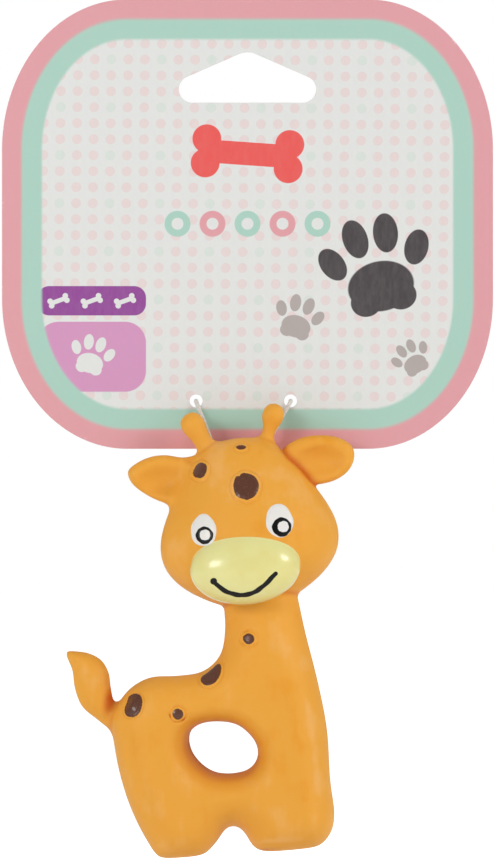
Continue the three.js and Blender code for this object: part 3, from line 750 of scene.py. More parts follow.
RUMP_SPOT = (
    (-22.29, 47.86), (-20.96, 47.38), (-20.39, 46.08), (-20.63, 44.18), (-21.29, 42.58),
    (-22.46, 41.57), (-23.85, 41.28), (-25.19, 41.76), (-25.66, 42.89), (-25.45, 44.24),
    (-24.81, 45.57), (-24.28, 46.9), (-23.4, 47.66),
)
SPOTS = (
    Spot(HEAD, FOREHEAD_SPOT),
    Spot(HEAD, BROW_SPOT, lift=0.26),
    Spot(HEAD, CROWN_SPOT, rim=0.45, lift=0.2),
    Spot(TOY, NECK_SPOT, rim=0.65, stain=0.4),
    Spot(TOY, NAPE_SPOT, rim=0.4, lift=0.22),
    Spot(TOY, FLANK_SPOT, rim=0.65, stain=0.75),
    Spot(TOY, RUMP_SPOT, rim=0.1, lift=0.25, dome=0.5),
    Spot(HEAD, blot(-6.5, 10.5, 5.6, 6.0, 1.0), rim=0.7, side=Side.BACK),
    Spot(HEAD, blot(9.2, 3.4, 4.2, 4.4, 2.6), rim=0.7, side=Side.BACK),
    Spot(TOY, blot(-15.2, 38.2, 4.4, 4.8, 0.2), rim=0.6, side=Side.BACK),
    Spot(TOY, blot(-20.4, 23.2, 2.9, 3.0, 1.8), rim=0.7, side=Side.BACK),
    Spot(TOY, blot(18.4, 18.6, 3.4, 3.5, 2.9), rim=0.7, side=Side.BACK),
)
EYES = (
    Eye(-12.51, 1.78, 7.25, 9.1, math.radians(-7.5), (-12.48, 0.25, 2.48), (-12.3, 0.35, 1.52)),
    Eye(9.21, 1.69, 7.7, 9.6, math.radians(1.5), (9.64, -0.27, 2.74), (10.08, -0.21, 1.58)),
)
MOUTH = (
    (-11.57, -13.02), (-10.56, -14.39), (-8.99, -15.92), (-6.74, -17.23), (-4.41, -17.93),
    (-1.98, -17.94), (0.54, -17.17), (2.94, -15.72), (4.66, -14.4), (6.15, -13.15),
)
# Patches that lighten or deepen the latex: the lighter ones along the right-hand edge of the chest and neck
# and just above the front sole are painted light, the deeper ones beside that edge and along the front
# sole's bottom are painted shade, and the rest lighten the legs, the body and the head
LIGHT_SHADE_AND_TONE_PATCHES = (
    Patch(22.5, 36, 3.0, 22, math.radians(6), -0.8),
    Patch(26.5, 14, 2.4, 12, math.radians(-2), 0.9),
    Patch(27.0, 34, 1.6, 24, math.radians(5), 0.9),
    Patch(14.0, 3.3, 9.0, 0.9, 0.0, 0.9),
    Patch(17.5, 9, 4.5, 7, 0.0, 0.45),
    Patch(20.0, 60, 2.2, 9, math.radians(10), 0.5),
    Patch(-18, 18, 5, 11, math.radians(-18), 0.35),
    Patch(12, 24, 6, 8, 0.0, 0.3),
    Patch(-4, 47, 9, 3, 0.0, 0.3),
    Patch(16, 1.6, 9.5, 1.6, 0.0, -1.0),
    Patch(5.5, 113, 8, 6, math.radians(-10), 0.6),
    Patch(9, 104, 10, 5, 0.0, 0.3),
)
# Painted shade at the tail's root, along the soles and where the horns and ears meet the head
SHADE_PATCHES = (
    Patch(-29.6, 46.2, 2.9, 6.6, math.radians(-14), 0.85),
    Patch(-30.4, 51.6, 1.5, 6.5, math.radians(6), 0.3),
    Patch(10.5, 0.7, 8.5, 1.2, 0.0, 0.5),
    Patch(-19.0, 0.4, 8.0, 0.9, 0.0, 0.35),
    Patch(33.1, 113.8, 9.5, 1.8, math.radians(9), 0.3),
    Patch(25.1, 114.6, 1.6, 1.8, 0.0, 0.6),
    Patch(-2.4, 112.5, 2.6, 1.8, math.radians(-25), 0.38),
    Patch(-10.3, 106.0, 7.0, 4.0, math.radians(15), 0.2),
)


# Meshes


def object_of(
    name: str, mesh: bmesh.types.BMesh, materials: Sequence[bpy.types.Material],
) -> bpy.types.Object:
    """An object at the origin that holds a finished mesh.

    Args:
        name: Name of the object.
        mesh: The mesh in metres in the row's frame. It is freed.
        materials: Materials in slot order.

    Returns:
        The object, linked to the scene, with smooth faces.
    """
    for face in mesh.faces:
        face.smooth = True
    data = bpy.data.meshes.new(name)
    mesh.to_mesh(data)
    mesh.free()
    for material in materials:
        data.materials.append(material)
    made = bpy.data.objects.new(name, data)
    bpy.context.scene.collection.objects.link(made)
    return made


def applied(source: bpy.types.Object) -> bmesh.types.BMesh:
    """Applies an object's modifiers.

    Args:
        source: The object. It is removed.

    Returns:
        The finished mesh.
    """
    graph = bpy.context.evaluated_depsgraph_get()
    made = bmesh.new()
    made.from_object(source, graph)
    data = source.data
    bpy.data.objects.remove(source)
    bpy.data.meshes.remove(data)
    return made


def remeshed(source: bpy.types.Object, voxel: float) -> bmesh.types.BMesh:
    """Meshes an object's closed surface evenly.

    Args:
        source: The object. It is removed.
        voxel: Size of the even mesh in metres.

    Returns:
        The new mesh.
    """
    remesh = source.modifiers.new("voxels", "REMESH")
    remesh.mode = "VOXEL"
    remesh.voxel_size = voxel
    return applied(source)


def softened(mesh: bmesh.types.BMesh, offset: float, angle: float = math.radians(40)) -> None:
    """Bevels the edges whose faces meet at more than an angle by an offset in metres."""
    sharp = [edge for edge in mesh.edges if len(edge.link_faces) == 2 and edge.calc_face_angle(0) > angle]
    bmesh.ops.bevel(
        mesh, geom=sharp, affect="EDGES", offset=offset, segments=2, profile=0.5, material=-1,
        clamp_overlap=True,
    )


def turned(profile: Sequence[Sequence[float]], steps: int) -> bmesh.types.BMesh:
    """A body of revolution about Y.

    Args:
        profile: Radius and place along Y in millimetres. The last point is joined to the first.
        steps: Faces in a full turn.

    Returns:
        The mesh in metres, with its faces outwards.
    """
    mesh = bmesh.new()
    corners = [mesh.verts.new((radius * MM, along * MM, 0)) for radius, along in profile]
    for first, second in zip(corners, corners[1:] + corners[:1]):
        mesh.edges.new((first, second))
    bmesh.ops.spin(
        mesh, geom=mesh.verts[:] + mesh.edges[:], cent=(0, 0, 0), axis=(0, 1, 0),
        angle=2 * math.pi, steps=steps, use_merge=True,
    )
    bmesh.ops.remove_doubles(mesh, verts=mesh.verts, dist=1e-7)
    bmesh.ops.recalc_face_normals(mesh, faces=mesh.faces)
    return mesh


def plate(loops: Sequence[np.ndarray], front: float, back: float) -> bmesh.types.BMesh:
    """A flat sheet in the X-Z plane with holes through it.

    Args:
        loops: The outline and the holes in millimetres, each a closed loop.
        front: Y of the front face in millimetres.
        back: Y of the back face in millimetres.

    Returns:
        The closed mesh in metres, with its faces outwards.
    """
    mesh = bmesh.new()
    for loop in loops:
        corners = [mesh.verts.new((x * MM, front * MM, z * MM)) for x, z in loop]
        for first, second in zip(corners, corners[1:] + corners[:1]):
            mesh.edges.new((first, second))
    bmesh.ops.triangle_fill(mesh, use_beauty=True, use_dissolve=False, edges=mesh.edges[:])
    made = bmesh.ops.extrude_face_region(mesh, geom=mesh.faces[:], use_keep_orig=True)
    moved = [item for item in made["geom"] if isinstance(item, bmesh.types.BMVert)]
    bmesh.ops.translate(mesh, verts=moved, vec=(0, (back - front) * MM, 0))
    bmesh.ops.recalc_face_normals(mesh, faces=mesh.faces)
    return mesh


def circle(x: float, z: float, radius: float, count: int) -> np.ndarray:
    """A circle's points in millimetres."""
    turn = np.linspace(0, 2 * math.pi, count, endpoint=False)
    return np.column_stack([x + radius * np.cos(turn), z + radius * np.sin(turn)])


def tube(
    name: str, route: np.ndarray, diameter: float, material: bpy.types.Material, drawn: float = 1.0,
) -> bpy.types.Object:
    """A round cord along a route, as a closed mesh.

    Args:
        name: Name of the object.
        route: Points along the cord in millimetres.
        diameter: Diameter in millimetres at the ends.
        material: Its finish.
        drawn: Share of the diameter left at the middle, where the cord is stretched thin.

    Returns:
        The cord.
    """
    curve = bpy.data.curves.new(name, "CURVE")
    curve.dimensions = "3D"
    curve.bevel_depth = diameter / 2 * MM
    curve.bevel_resolution = 5
    curve.use_fill_caps = True
    spline = curve.splines.new("POLY")
    spline.points.add(len(route) - 1)
    for point, place, share in zip(spline.points, route, np.linspace(-1, 1, len(route))):
        point.co = (*(place * MM), 1)
        point.radius = drawn + (1 - drawn) * float(eased(np.abs(share), 0.35, 0.95))
    source = bpy.data.objects.new(f"{name}_route", curve)
    bpy.context.scene.collection.objects.link(source)
    mesh = bmesh.new()
    data = bpy.data.meshes.new_from_object(source.evaluated_get(bpy.context.evaluated_depsgraph_get()))
    mesh.from_mesh(data)
    bpy.data.meshes.remove(data)
    bpy.data.objects.remove(source)
    bpy.data.curves.remove(curve)
    bmesh.ops.remove_doubles(mesh, verts=mesh.verts, dist=1e-7)
    bmesh.ops.recalc_face_normals(mesh, faces=mesh.faces)
    return object_of(name, mesh, [material])


# Shader building


class Sheet:
    """Adds nodes to one node tree and links them."""

    def __init__(self, tree: bpy.types.NodeTree) -> None:
        """Starts with an empty tree."""
        self.tree = tree
        tree.nodes.clear()

    def add(
        self, kind: str, inputs: dict[str | int, object] | None = None, **settings: object,
    ) -> bpy.types.Node:
        """Adds a node.

        Args:
            kind: Name of the node type without its ShaderNode prefix, or a full name.
            inputs: Values or sockets by input name or index.
            **settings: Properties of the node.

        Returns:
            The node.
        """
        node = self.tree.nodes.new(kind if kind.startswith("Node") else f"ShaderNode{kind}")
        for name, value in settings.items():
            setattr(node, name, value)
        for name, value in (inputs or {}).items():
            self.feed(node.inputs[name], value)
        return node

    def feed(self, into: Socket, value: object) -> None:
        """Links a socket into an input, or sets its plain value.

        Args:
            into: The input.
            value: A socket, a number or a tuple.
        """
        if isinstance(value, bpy.types.NodeSocket):
            self.tree.links.new(value, into)
        elif isinstance(value, tuple) and len(value) == 3 and into.type == "RGBA":
            into.default_value = (*value, 1)
        else:
            into.default_value = value

    def math(self, operation: str, *values: object, clamp: bool = False) -> Socket:
        """The result of a Math node."""
        return self.add("Math", dict(enumerate(values)), operation=operation, use_clamp=clamp).outputs[0]

    def vector(self, operation: str, *values: object) -> bpy.types.Node:
        """A Vector Math node."""
        return self.add("VectorMath", dict(enumerate(values)), operation=operation)

    def mix(self, share: object, first: object, second: object) -> Socket:
        """Two colours mixed."""
        inputs = {0: share, 6: first, 7: second}
        return self.add("Mix", inputs, data_type="RGBA", clamp_factor=True).outputs[2]

    def blend(self, share: object, first: object, second: object) -> Socket:
        """Two plain numbers mixed."""
        inputs = {0: share, 2: first, 3: second}
        return self.add("Mix", inputs, data_type="FLOAT", clamp_factor=True).outputs[0]

    def between(
        self, value: object, low: float, high: float, first: float = 0.0, last: float = 1.0,
    ) -> Socket:
        """A value eased from first to last while it goes from low to high."""
        inputs = dict(enumerate((value, low, high, first, last)))
        return self.add("MapRange", inputs, interpolation_type="SMOOTHSTEP", clamp=True).outputs[0]

    def noise(self, place: object, scale: float, detail: float = 3.0, roughness: float = 0.5) -> Socket:
        """A noise value at a scale per metre."""
        inputs = {"Vector": place, "Scale": scale, "Detail": detail, "Roughness": roughness}
        return self.add("TexNoise", inputs).outputs[0]

    def mapped(self, place: object, kind: str, **inputs: object) -> Socket:
        """Places through a Mapping node of a kind, by its Location, Rotation and Scale."""
        return self.add("Mapping", {"Vector": place, **inputs}, vector_type=kind).outputs[0]

    def placed(
        self, place: object, x: float, z: float, width: float, height: float, lean: float = 0.0,
    ) -> Socket:
        """Places measured from a mark's middle in halves of its size, both given in millimetres."""
        middle, halves = (x * MM, 0, z * MM), (width / 2 * MM, 1, height / 2 * MM)
        return self.mapped(place, "TEXTURE", Location=middle, Rotation=(0, -lean, 0), Scale=halves)

    def stretched(self, place: object, scale: Triple, lean: float = 0.0) -> Socket:
        """Places stretched along the axes."""
        return self.mapped(place, "POINT", Rotation=(0, lean, 0), Scale=scale)

    def group(self, tree: bpy.types.NodeTree, **inputs: object) -> bpy.types.Node:
        """A node group with its inputs."""
        return self.add("Group", inputs, node_tree=tree)

    def bump(self, height: object, distance: float, strength: float, under: object = None) -> Socket:
        """A normal from a height, with its distance in metres, laid over another normal if given."""
        inputs = {"Height": height, "Distance": distance, "Strength": strength}
        return self.add("Bump", inputs if under is None else inputs | {"Normal": under}).outputs[0]


class Effects:
    """Shared effects as node groups, each built once when it is first asked for."""

    made: dict[str, bpy.types.NodeTree] = {}

    @classmethod
    def _group(
        cls, name: str, inputs: dict[str, str], outputs: dict[str, str],
        fill: Callable[[Sheet, dict[str, Socket]], dict[str, Socket]],
    ) -> bpy.types.NodeTree:
        """Finds or builds a node group.

        Args:
            name: Name of the group.
            inputs: Kinds of its inputs by name.
            outputs: Kinds of its outputs by name.
            fill: Builds the group's nodes from its inputs' sockets.

        Returns:
            The group, which is built only once.
        """
        if name not in cls.made:
            tree = bpy.data.node_groups.new(name, "ShaderNodeTree")
            sheet = Sheet(tree)
            for side, sockets in (("INPUT", inputs), ("OUTPUT", outputs)):
                for label, kind in sockets.items():
                    tree.interface.new_socket(label, in_out=side, socket_type=f"NodeSocket{kind}")
            start, end = sheet.add("NodeGroupInput"), sheet.add("NodeGroupOutput")
            results = fill(sheet, {label: start.outputs[label] for label in inputs})
            for label, value in results.items():
                sheet.feed(end.inputs[label], value)
            cls.made[name] = tree
        return cls.made[name]

    @classmethod
    def disc(cls) -> bpy.types.NodeTree:
        """A crisp round mark from places in halves of its size."""

        def fill(sheet: Sheet, given: dict[str, Socket]) -> dict[str, Socket]:
            """The mask, which leaves depth out, by the inputs' sockets."""
            flat = sheet.vector("MULTIPLY", given["Place"], FLAT).outputs[0]
            away = sheet.vector("LENGTH", flat).outputs["Value"]
            return {"Mask": sheet.between(away, 1.03, 0.97)}

        return cls._group("round mark", {"Place": "Vector"}, {"Mask": "Float"}, fill)

    @classmethod
    def panel(cls) -> bpy.types.NodeTree:
        """A crisp rectangle with round corners; Corner is each corner's share of half the size."""

        def fill(sheet: Sheet, given: dict[str, Socket]) -> dict[str, Socket]:
            """The mask, which leaves depth out, by the inputs' sockets."""
            place = sheet.vector("MULTIPLY", given["Place"], FLAT).outputs[0]
            flat = sheet.vector("ABSOLUTE", place).outputs[0]
            rest = sheet.vector("SUBTRACT", (1.0, 1.0, 1.0), given["Corner"]).outputs[0]
            past = sheet.vector("SUBTRACT", flat, rest).outputs[0]
            over = sheet.vector("MAXIMUM", past, (0.0, 0.0, 0.0)).outputs[0]
            share = sheet.vector("DIVIDE", over, given["Corner"]).outputs[0]
            away = sheet.vector("LENGTH", sheet.vector("MULTIPLY", share, FLAT).outputs[0])
            return {"Mask": sheet.between(away.outputs["Value"], 1.02, 0.98)}

        return cls._group("rounded panel", {"Place": "Vector", "Corner": "Vector"}, {"Mask": "Float"}, fill)

    @classmethod
    def grain(cls) -> bpy.types.NodeTree:
        """Fine uneven grain with rare specks, at a scale per metre."""

        def fill(sheet: Sheet, given: dict[str, Socket]) -> dict[str, Socket]:
            """The grain's height and its specks by the inputs' sockets."""
            fine = sheet.add("TexNoise", {"Vector": given["Place"], "Scale": given["Scale"], "Detail": 4.0})
            coarse_scale = sheet.math("MULTIPLY", given["Scale"], 0.12)
            coarse = sheet.add("TexNoise", {"Vector": given["Place"], "Scale": coarse_scale, "Detail": 2.0})
            height = sheet.math("ADD", fine.outputs[0], sheet.math("MULTIPLY", coarse.outputs[0], 0.6))
            cells = sheet.add("TexVoronoi", {"Vector": given["Place"], "Scale": coarse_scale})
            near = sheet.between(cells.outputs["Distance"], 0.09, 0.04)
            chance = sheet.add("SeparateColor", {0: cells.outputs["Color"]}).outputs[0]
            rare = sheet.between(chance, 0.9, 0.94)
            return {"Height": height, "Specks": sheet.math("MULTIPLY", near, rare)}

        inputs = {"Place": "Vector", "Scale": "Float"}
        return cls._group("fine grain", inputs, {"Height": "Float", "Specks": "Float"}, fill)


def fresh(name: str) -> tuple[bpy.types.Material, Sheet, bpy.types.Node]:
    """Starts a material with a Principled shader.

    Args:
        name: Name of the material.

    Returns:
        The material, its sheet and its Principled shader.
    """
    material = bpy.data.materials.new(name)
    material.use_nodes = True
    sheet = Sheet(material.node_tree)
    shader = sheet.add("BsdfPrincipled")
    end = sheet.add("OutputMaterial")
    sheet.tree.links.new(shader.outputs[0], end.inputs[0])
    return material, sheet, shader


def place_of(sheet: Sheet) -> Socket:
    """The Object coordinates, which are metres in the row's frame."""
    return sheet.add("TexCoord").outputs["Object"]


# Finishes


@dataclass(frozen=True)
class PaintedLatex:
    """Satin orange latex with glossy hand-painted marks and painted light and shade, read from the mesh's
    own attributes.
    """

    orange: Colour = painted(233, 164, 61)
    # The marbling's lighter and deeper tones, which the patches' painted light and shade also draw on
    pale: Colour = painted(236, 174, 90)
    deep: Colour = painted(230, 153, 42)
    # The colour of painted shade in folds, hollows and on the belly hole's wall, of brown paint run around
    # the spots, and of specks
    shade_and_stain: Colour = painted(196, 80, 4)
    muzzle: Colour = painted(229, 224, 152)
    muzzle_warm: Colour = painted(226, 214, 132)
    brown: Colour = painted(93, 55, 39)
    brown_light: Colour = painted(110, 70, 53)
    white: Colour = painted(230, 227, 222)
    black: Colour = painted(4, 5, 4)

    def material(self) -> bpy.types.Material:
        """Builds the finish.

        Returns:
            The material.
        """
        material, sheet, shader = fresh("painted_latex")
        place = place_of(sheet)
        read = {
            name: sheet.add("Attribute", attribute_name=name).outputs["Fac"]
            for name in ("shade_and_stain", "muzzle", "brown", "white", "black", "tone")
        }
        cloud = sheet.noise(place, 70, 3.0, 0.55)
        streaks = sheet.noise(sheet.stretched(place, (1.0, 0.6, 0.22), math.radians(4)), 300, 4.0, 0.6)
        marbled = sheet.math("ADD", sheet.math("MULTIPLY", cloud, 0.7), sheet.math("MULTIPLY", streaks, 0.3))
        # Adds the patches' painted light and shade to the marbling
        marbling_and_painted_light = sheet.math("ADD", marbled, sheet.math("MULTIPLY", read["tone"], 0.16))
        colour = sheet.mix(sheet.between(marbling_and_painted_light, 0.52, 0.72), self.orange, self.pale)
        colour = sheet.mix(sheet.between(marbling_and_painted_light, 0.48, 0.26), colour, self.deep)
        # Painted shade in folds, hollows and on the belly hole's wall, with brown paint run around the spots
        depth = sheet.math("MULTIPLY", sheet.between(read["shade_and_stain"], 0.08, 0.9), 0.85)
        colour = sheet.mix(depth, colour, self.shade_and_stain)
        grain = sheet.group(Effects.grain(), Place=place, Scale=2600.0)
        colour = sheet.mix(sheet.math("MULTIPLY", grain.outputs["Specks"], 0.35), colour, self.shade_and_stain)

        edge = sheet.math("MULTIPLY", sheet.math("SUBTRACT", sheet.noise(place, 1100, 2.0), 0.5), 0.12)
        cover = {
            name: sheet.between(sheet.math("ADD", read[name], edge), -0.06, 0.06)
            for name in ("muzzle", "brown", "white", "black")
        }
        pale = sheet.mix(sheet.between(cloud, 0.38, 0.78), self.muzzle, self.muzzle_warm)
        colour = sheet.mix(cover["muzzle"], colour, pale)
        brushed = sheet.noise(sheet.stretched(place, (1.0, 1.0, 0.25), math.radians(-12)), 2400, 3.0, 0.7)
        brown = sheet.mix(sheet.between(brushed, 0.5, 0.72), self.brown, self.brown_light)
        colour = sheet.mix(cover["brown"], colour, brown)
        colour = sheet.mix(cover["white"], colour, self.white)
        colour = sheet.mix(cover["black"], colour, self.black)
        sheet.feed(shader.inputs["Base Color"], colour)

        roughness = sheet.between(streaks, 0.3, 0.7, 0.44, 0.56)
        for name, value in (("muzzle", 0.3), ("brown", 0.4), ("white", 0.4), ("black", 0.4)):
            roughness = sheet.blend(cover[name], roughness, value)
        sheet.feed(shader.inputs["Roughness"], roughness)
        paint = sheet.math("MAXIMUM", cover["brown"], sheet.math("MAXIMUM", cover["white"], cover["black"]))
        skin = sheet.math("MULTIPLY", grain.outputs["Height"], sheet.math("SUBTRACT", 1.0, paint))
        fine = sheet.bump(skin, 0.00002, 0.35)
        strokes = sheet.math("MULTIPLY", brushed, sheet.math("MULTIPLY", cover["brown"], 0.5))
        thick = sheet.math("ADD", strokes, paint)
        normal = sheet.bump(sheet.math("ADD", thick, cover["muzzle"]), 0.00005, 0.5, fine)
        sheet.feed(shader.inputs["Normal"], normal)
        gloss = sheet.math("MAXIMUM", sheet.math("MULTIPLY", cover["muzzle"], 1.6), paint)
        dulled = sheet.math("SUBTRACT", 0.6, sheet.math("MULTIPLY", cover["black"], 0.42))
        sheet.feed(shader.inputs["Coat Weight"], sheet.math("MULTIPLY", gloss, dulled))
        shader.inputs["Coat Roughness"].default_value = 0.2
        shader.inputs["Coat IOR"].default_value = 1.5
        shader.inputs["Specular IOR Level"].default_value = 0.2
        shader.inputs["Subsurface Weight"].default_value = 0.12
        shader.inputs["Subsurface Radius"].default_value = (1.0, 0.45, 0.15)
        shader.inputs["Subsurface Scale"].default_value = 0.0012
        return material


@dataclass(frozen=True)
class MilkyElastic:
    """Soft translucent elastic cord, satin and a little dusty."""

    colour: Colour = painted(238, 235, 227)
    shade: Colour = painted(220, 216, 207)

    def material(self) -> bpy.types.Material:
        """Builds the finish.

        Returns:
            The material.
        """
        material, sheet, shader = fresh("milky_elastic")
        place = place_of(sheet)
        ribs = sheet.noise(sheet.stretched(place, (1.0, 1.0, 0.2)), 4000, 3.0)
        colour = sheet.mix(sheet.between(ribs, 0.35, 0.7), self.colour, self.shade)
        sheet.feed(shader.inputs["Base Color"], colour)
        sheet.feed(shader.inputs["Roughness"], sheet.between(ribs, 0.3, 0.7, 0.28, 0.42))
        sheet.feed(shader.inputs["Normal"], sheet.bump(ribs, 0.00004, 0.4))
        shader.inputs["Transmission Weight"].default_value = 0.25
        shader.inputs["IOR"].default_value = 1.45
        shader.inputs["Subsurface Weight"].default_value = 0.2
        shader.inputs["Subsurface Scale"].default_value = 0.001
        return material


class Shape(Enum):
    """Shape of a printed mark."""

    DISC = "disc"
    PANEL = "panel"


@dataclass(frozen=True)
class Printed:
    """A printed mark on the card: its middle, size and lean in millimetres and radians."""

    shape: Shape
    x: float
    z: float
    width: float
    height: float
    colour: Colour
    lean: float = 0.0
    corner: float = 0.2

    def cover(self, sheet: Sheet, place: Socket) -> Socket:
        """Adds the mark's mask.

        Args:
            sheet: Sheet of the material.
            place: The Object coordinates.

        Returns:
            The mask.
        """
        local = sheet.placed(place, self.x, self.z, self.width, self.height, self.lean)
        if self.shape is Shape.DISC:
            return sheet.group(Effects.disc(), Place=local).outputs["Mask"]
        short = min(self.width, self.height) * self.corner
        corner = (short / self.width * 2, 1.0, short / self.height * 2)
        return sheet.group(Effects.panel(), Place=local, Corner=corner).outputs["Mask"]


def bone(x: float, z: float, size: float, colour: Colour, lean: float) -> list[Printed]:
    """A simple bone: a bar with two knobs at each end.

    Args:
        x: Its middle across in millimetres.
        z: Its middle up in millimetres.
        size: Its length in millimetres.
        colour: Its colour.
        lean: Its lean in radians.

    Returns:
        Its marks.
    """
    marks = [Printed(Shape.PANEL, x, z, size * 0.7, size * 0.2, colour, lean, 0.3)]
    knob = size * 0.25
    for along in (-0.36, 0.36):
        for up in (-0.105, 0.105):
            across, _, rise = leaned(along * size, 0, up * size, -lean)
            marks.append(Printed(Shape.DISC, x + across, z + rise, knob, knob, colour))
    return marks


def paw(x: float, z: float, size: float, colour: Colour, lean: float) -> list[Printed]:
    """A simple paw print: a wide pad and four toes.

    Args:
        x: Its middle across in millimetres.
        z: Its middle up in millimetres.
        size: Its width in millimetres.
        colour: Its colour.
        lean: Its lean in radians.

    Returns:
        Its marks.
    """
    parts = (
        (0.0, -0.16, 0.56, 0.42, 0.0), (-0.15, -0.27, 0.26, 0.24, 0.0), (0.15, -0.27, 0.26, 0.24, 0.0),
        (-0.36, 0.1, 0.2, 0.3, 0.45), (-0.13, 0.27, 0.21, 0.33, 0.12), (0.13, 0.27, 0.21, 0.33, -0.12),
        (0.36, 0.1, 0.2, 0.3, -0.45),
    )
    marks = []
    for along, up, wide, high, turn in parts:
        across, _, rise = leaned(along, 0, up, -lean)
        middle = (x + across * size, z + rise * size)
        marks.append(Printed(Shape.DISC, *middle, wide * size, high * size, colour, lean + turn))
    return marks


@dataclass(frozen=True)
class PrintedCard:
    """Coated board with pink and mint bands, a dotted field and plain motifs, in millimetres."""

    width: float
    height: float
    middle: float
    corner: Pair
    pink_band: float = 5.6
    both_bands: float = 11.4
    pitch: Pair = (4.777, 4.571)
    first: Pair = (-53.24, -16.14)
    dot: float = 2.8
    slant: float = 0.0087
    dot_turn: float = math.radians(0.3)
    pink: Colour = painted(222, 157, 163)
    mint: Colour = painted(168, 206, 191)
    field: Colour = painted(223, 224, 221)
    dot_pink: Colour = painted(226, 211, 209)
    dot_mint: Colour = painted(213, 221, 214)
    lilac: Colour = painted(210, 148, 188)
    purple: Colour = painted(146, 70, 150)
    coral: Colour = painted(232, 88, 84)
    charcoal: Colour = painted(72, 66, 68)
    warm_grey: Colour = painted(176, 166, 162)
    fibre_grey: Colour = painted(190, 184, 180)
    scuffed: Colour = painted(244, 240, 236)

    def marks(self) -> list[Printed]:
        """The plain motifs, from the lowest layer to the highest.

        Returns:
            The marks.
        """
        left = [
            Printed(Shape.PANEL, -44.5, -87.5, 31, 20, self.lilac, 0.0, 0.3),
            Printed(Shape.PANEL, -44.5, -71.5, 31, 8.4, self.purple, 0.0, 0.4),
        ]
        for x in (-54, -44.5, -35):
            left += bone(x, -71.5, 6.4, self.field, math.radians(20))
        left += paw(-44.5, -87.2, 13.5, self.field, math.radians(-14))
        middle = bone(0, -29.5, 33, self.coral, math.radians(-4))
        for index, x in enumerate((-20, -10, 0, 10, 20)):
            colour = (self.mint, self.pink)[index % 2]
            middle.append(Printed(Shape.DISC, x, -49.5, 7.4, 7.4, colour))
            middle.append(Printed(Shape.DISC, x, -49.5, 3.4, 3.4, self.field))
        right = paw(37, -62, 34, self.charcoal, math.radians(12))
        right += paw(14.5, -76.5, 15, self.warm_grey, math.radians(-16))
        right += paw(47, -88, 12, self.warm_grey, math.radians(30))
        return left + middle + right

    def banded(self, sheet: Sheet, place: Socket, inset: float) -> Socket:
        """Adds a mask of the card's outline, drawn in.

        Args:
            sheet: Sheet of the material.
            place: The Object coordinates.
            inset: How far the outline is drawn in, in millimetres.

        Returns:
            The mask.
        """
        across, up = self.corner
        half_x, half_z = self.width / 2 - inset, self.height / 2 - inset
        local = sheet.placed(place, 0, self.middle, 2 * half_x, 2 * half_z)
        corner = ((across - inset) / half_x, 1.0, (up - inset) / half_z)
        return sheet.group(Effects.panel(), Place=local, Corner=corner).outputs["Mask"]

    def material(self) -> bpy.types.Material:
        """Builds the finish.

        Returns:
            The material.
        """
        material, sheet, shader = fresh("printed_card")
        place = place_of(sheet)
        colour = self.field
        drift = sheet.vector("DOT_PRODUCT", place, (0.0, 0.0, -self.slant)).outputs["Value"]
        upright = sheet.vector("ADD", place, sheet.add("CombineXYZ", {"X": drift}).outputs[0]).outputs[0]
        across, up = self.pitch
        for count, tint in ((1, self.dot_pink), (3, self.dot_mint)):
            grid = sheet.mapped(
                upright, "TEXTURE", Rotation=(0, self.dot_turn, 0),
                Location=((self.first[0] - across / 2) * MM, 0, (self.first[1] - up / 2) * MM),
                Scale=(across * count * MM, 1, up * count * MM),
            )
            cell = sheet.vector("FRACTION", grid).outputs[0]
            shift = 0.5 / count
            local = sheet.vector("SUBTRACT", cell, (shift, 0.0, shift)).outputs[0]
            size = self.dot / 2 / across / count, self.dot / 2 / up / count
            spread = sheet.vector("MULTIPLY", local, (1 / size[0], 0.0, 1 / size[1])).outputs[0]
            dots = sheet.group(Effects.disc(), Place=spread).outputs["Mask"]
            colour = sheet.mix(dots, colour, tint)
        for mark in self.marks():
            colour = sheet.mix(mark.cover(sheet, place), colour, mark.colour)
        colour = sheet.mix(self.banded(sheet, place, self.both_bands), self.mint, colour)
        colour = sheet.mix(self.banded(sheet, place, self.pink_band), self.pink, colour)

        grain = sheet.group(Effects.grain(), Place=place, Scale=5200.0)
        fibre = sheet.noise(sheet.stretched(place, (1.0, 1.0, 0.3)), 900, 4.0, 0.65)
        colour = sheet.mix(sheet.between(fibre, 0.3, 0.75, 0.0, 0.06), colour, self.fibre_grey)
        rim = sheet.math("SUBTRACT", 1.0, self.banded(sheet, place, 0.25))
        scuffs = sheet.between(sheet.noise(place, 500, 4.0, 0.7), 0.6, 0.7, 0.0, 0.6)
        colour = sheet.mix(sheet.math("MULTIPLY", rim, scuffs), colour, self.scuffed)
        sheet.feed(shader.inputs["Base Color"], colour)
        sheet.feed(shader.inputs["Roughness"], sheet.between(fibre, 0.3, 0.7, 0.34, 0.48))
        sheet.feed(shader.inputs["Normal"], sheet.bump(grain.outputs["Height"], 0.00002, 0.3))
        shader.inputs["Specular IOR Level"].default_value = 0.4
        return material


@dataclass(frozen=True)
class RawBoard:
    """Uncoated board: the card's back and its cut edges."""

    colour: Colour = painted(222, 219, 213)
    fibre: Colour = painted(188, 182, 172)
    speck: Colour = painted(150, 140, 128)

    def material(self, name: str) -> bpy.types.Material:
        """Builds the finish under a name of its own.

        Args:
            name: Name of the material.

        Returns:
            The material.
        """
        material, sheet, shader = fresh(name)
        place = place_of(sheet)
        grain = sheet.group(Effects.grain(), Place=place, Scale=3000.0)
        fibre = sheet.noise(sheet.stretched(place, (0.35, 1.0, 1.0)), 1600, 5.0, 0.7)
        colour = sheet.mix(sheet.between(fibre, 0.42, 0.8), self.colour, self.fibre)
        colour = sheet.mix(grain.outputs["Specks"], colour, self.speck)
        sheet.feed(shader.inputs["Base Color"], colour)
        sheet.feed(shader.inputs["Roughness"], sheet.between(fibre, 0.3, 0.8, 0.82, 0.94))
        sheet.feed(shader.inputs["Normal"], sheet.bump(fibre, 0.00004, 0.4))
        return material


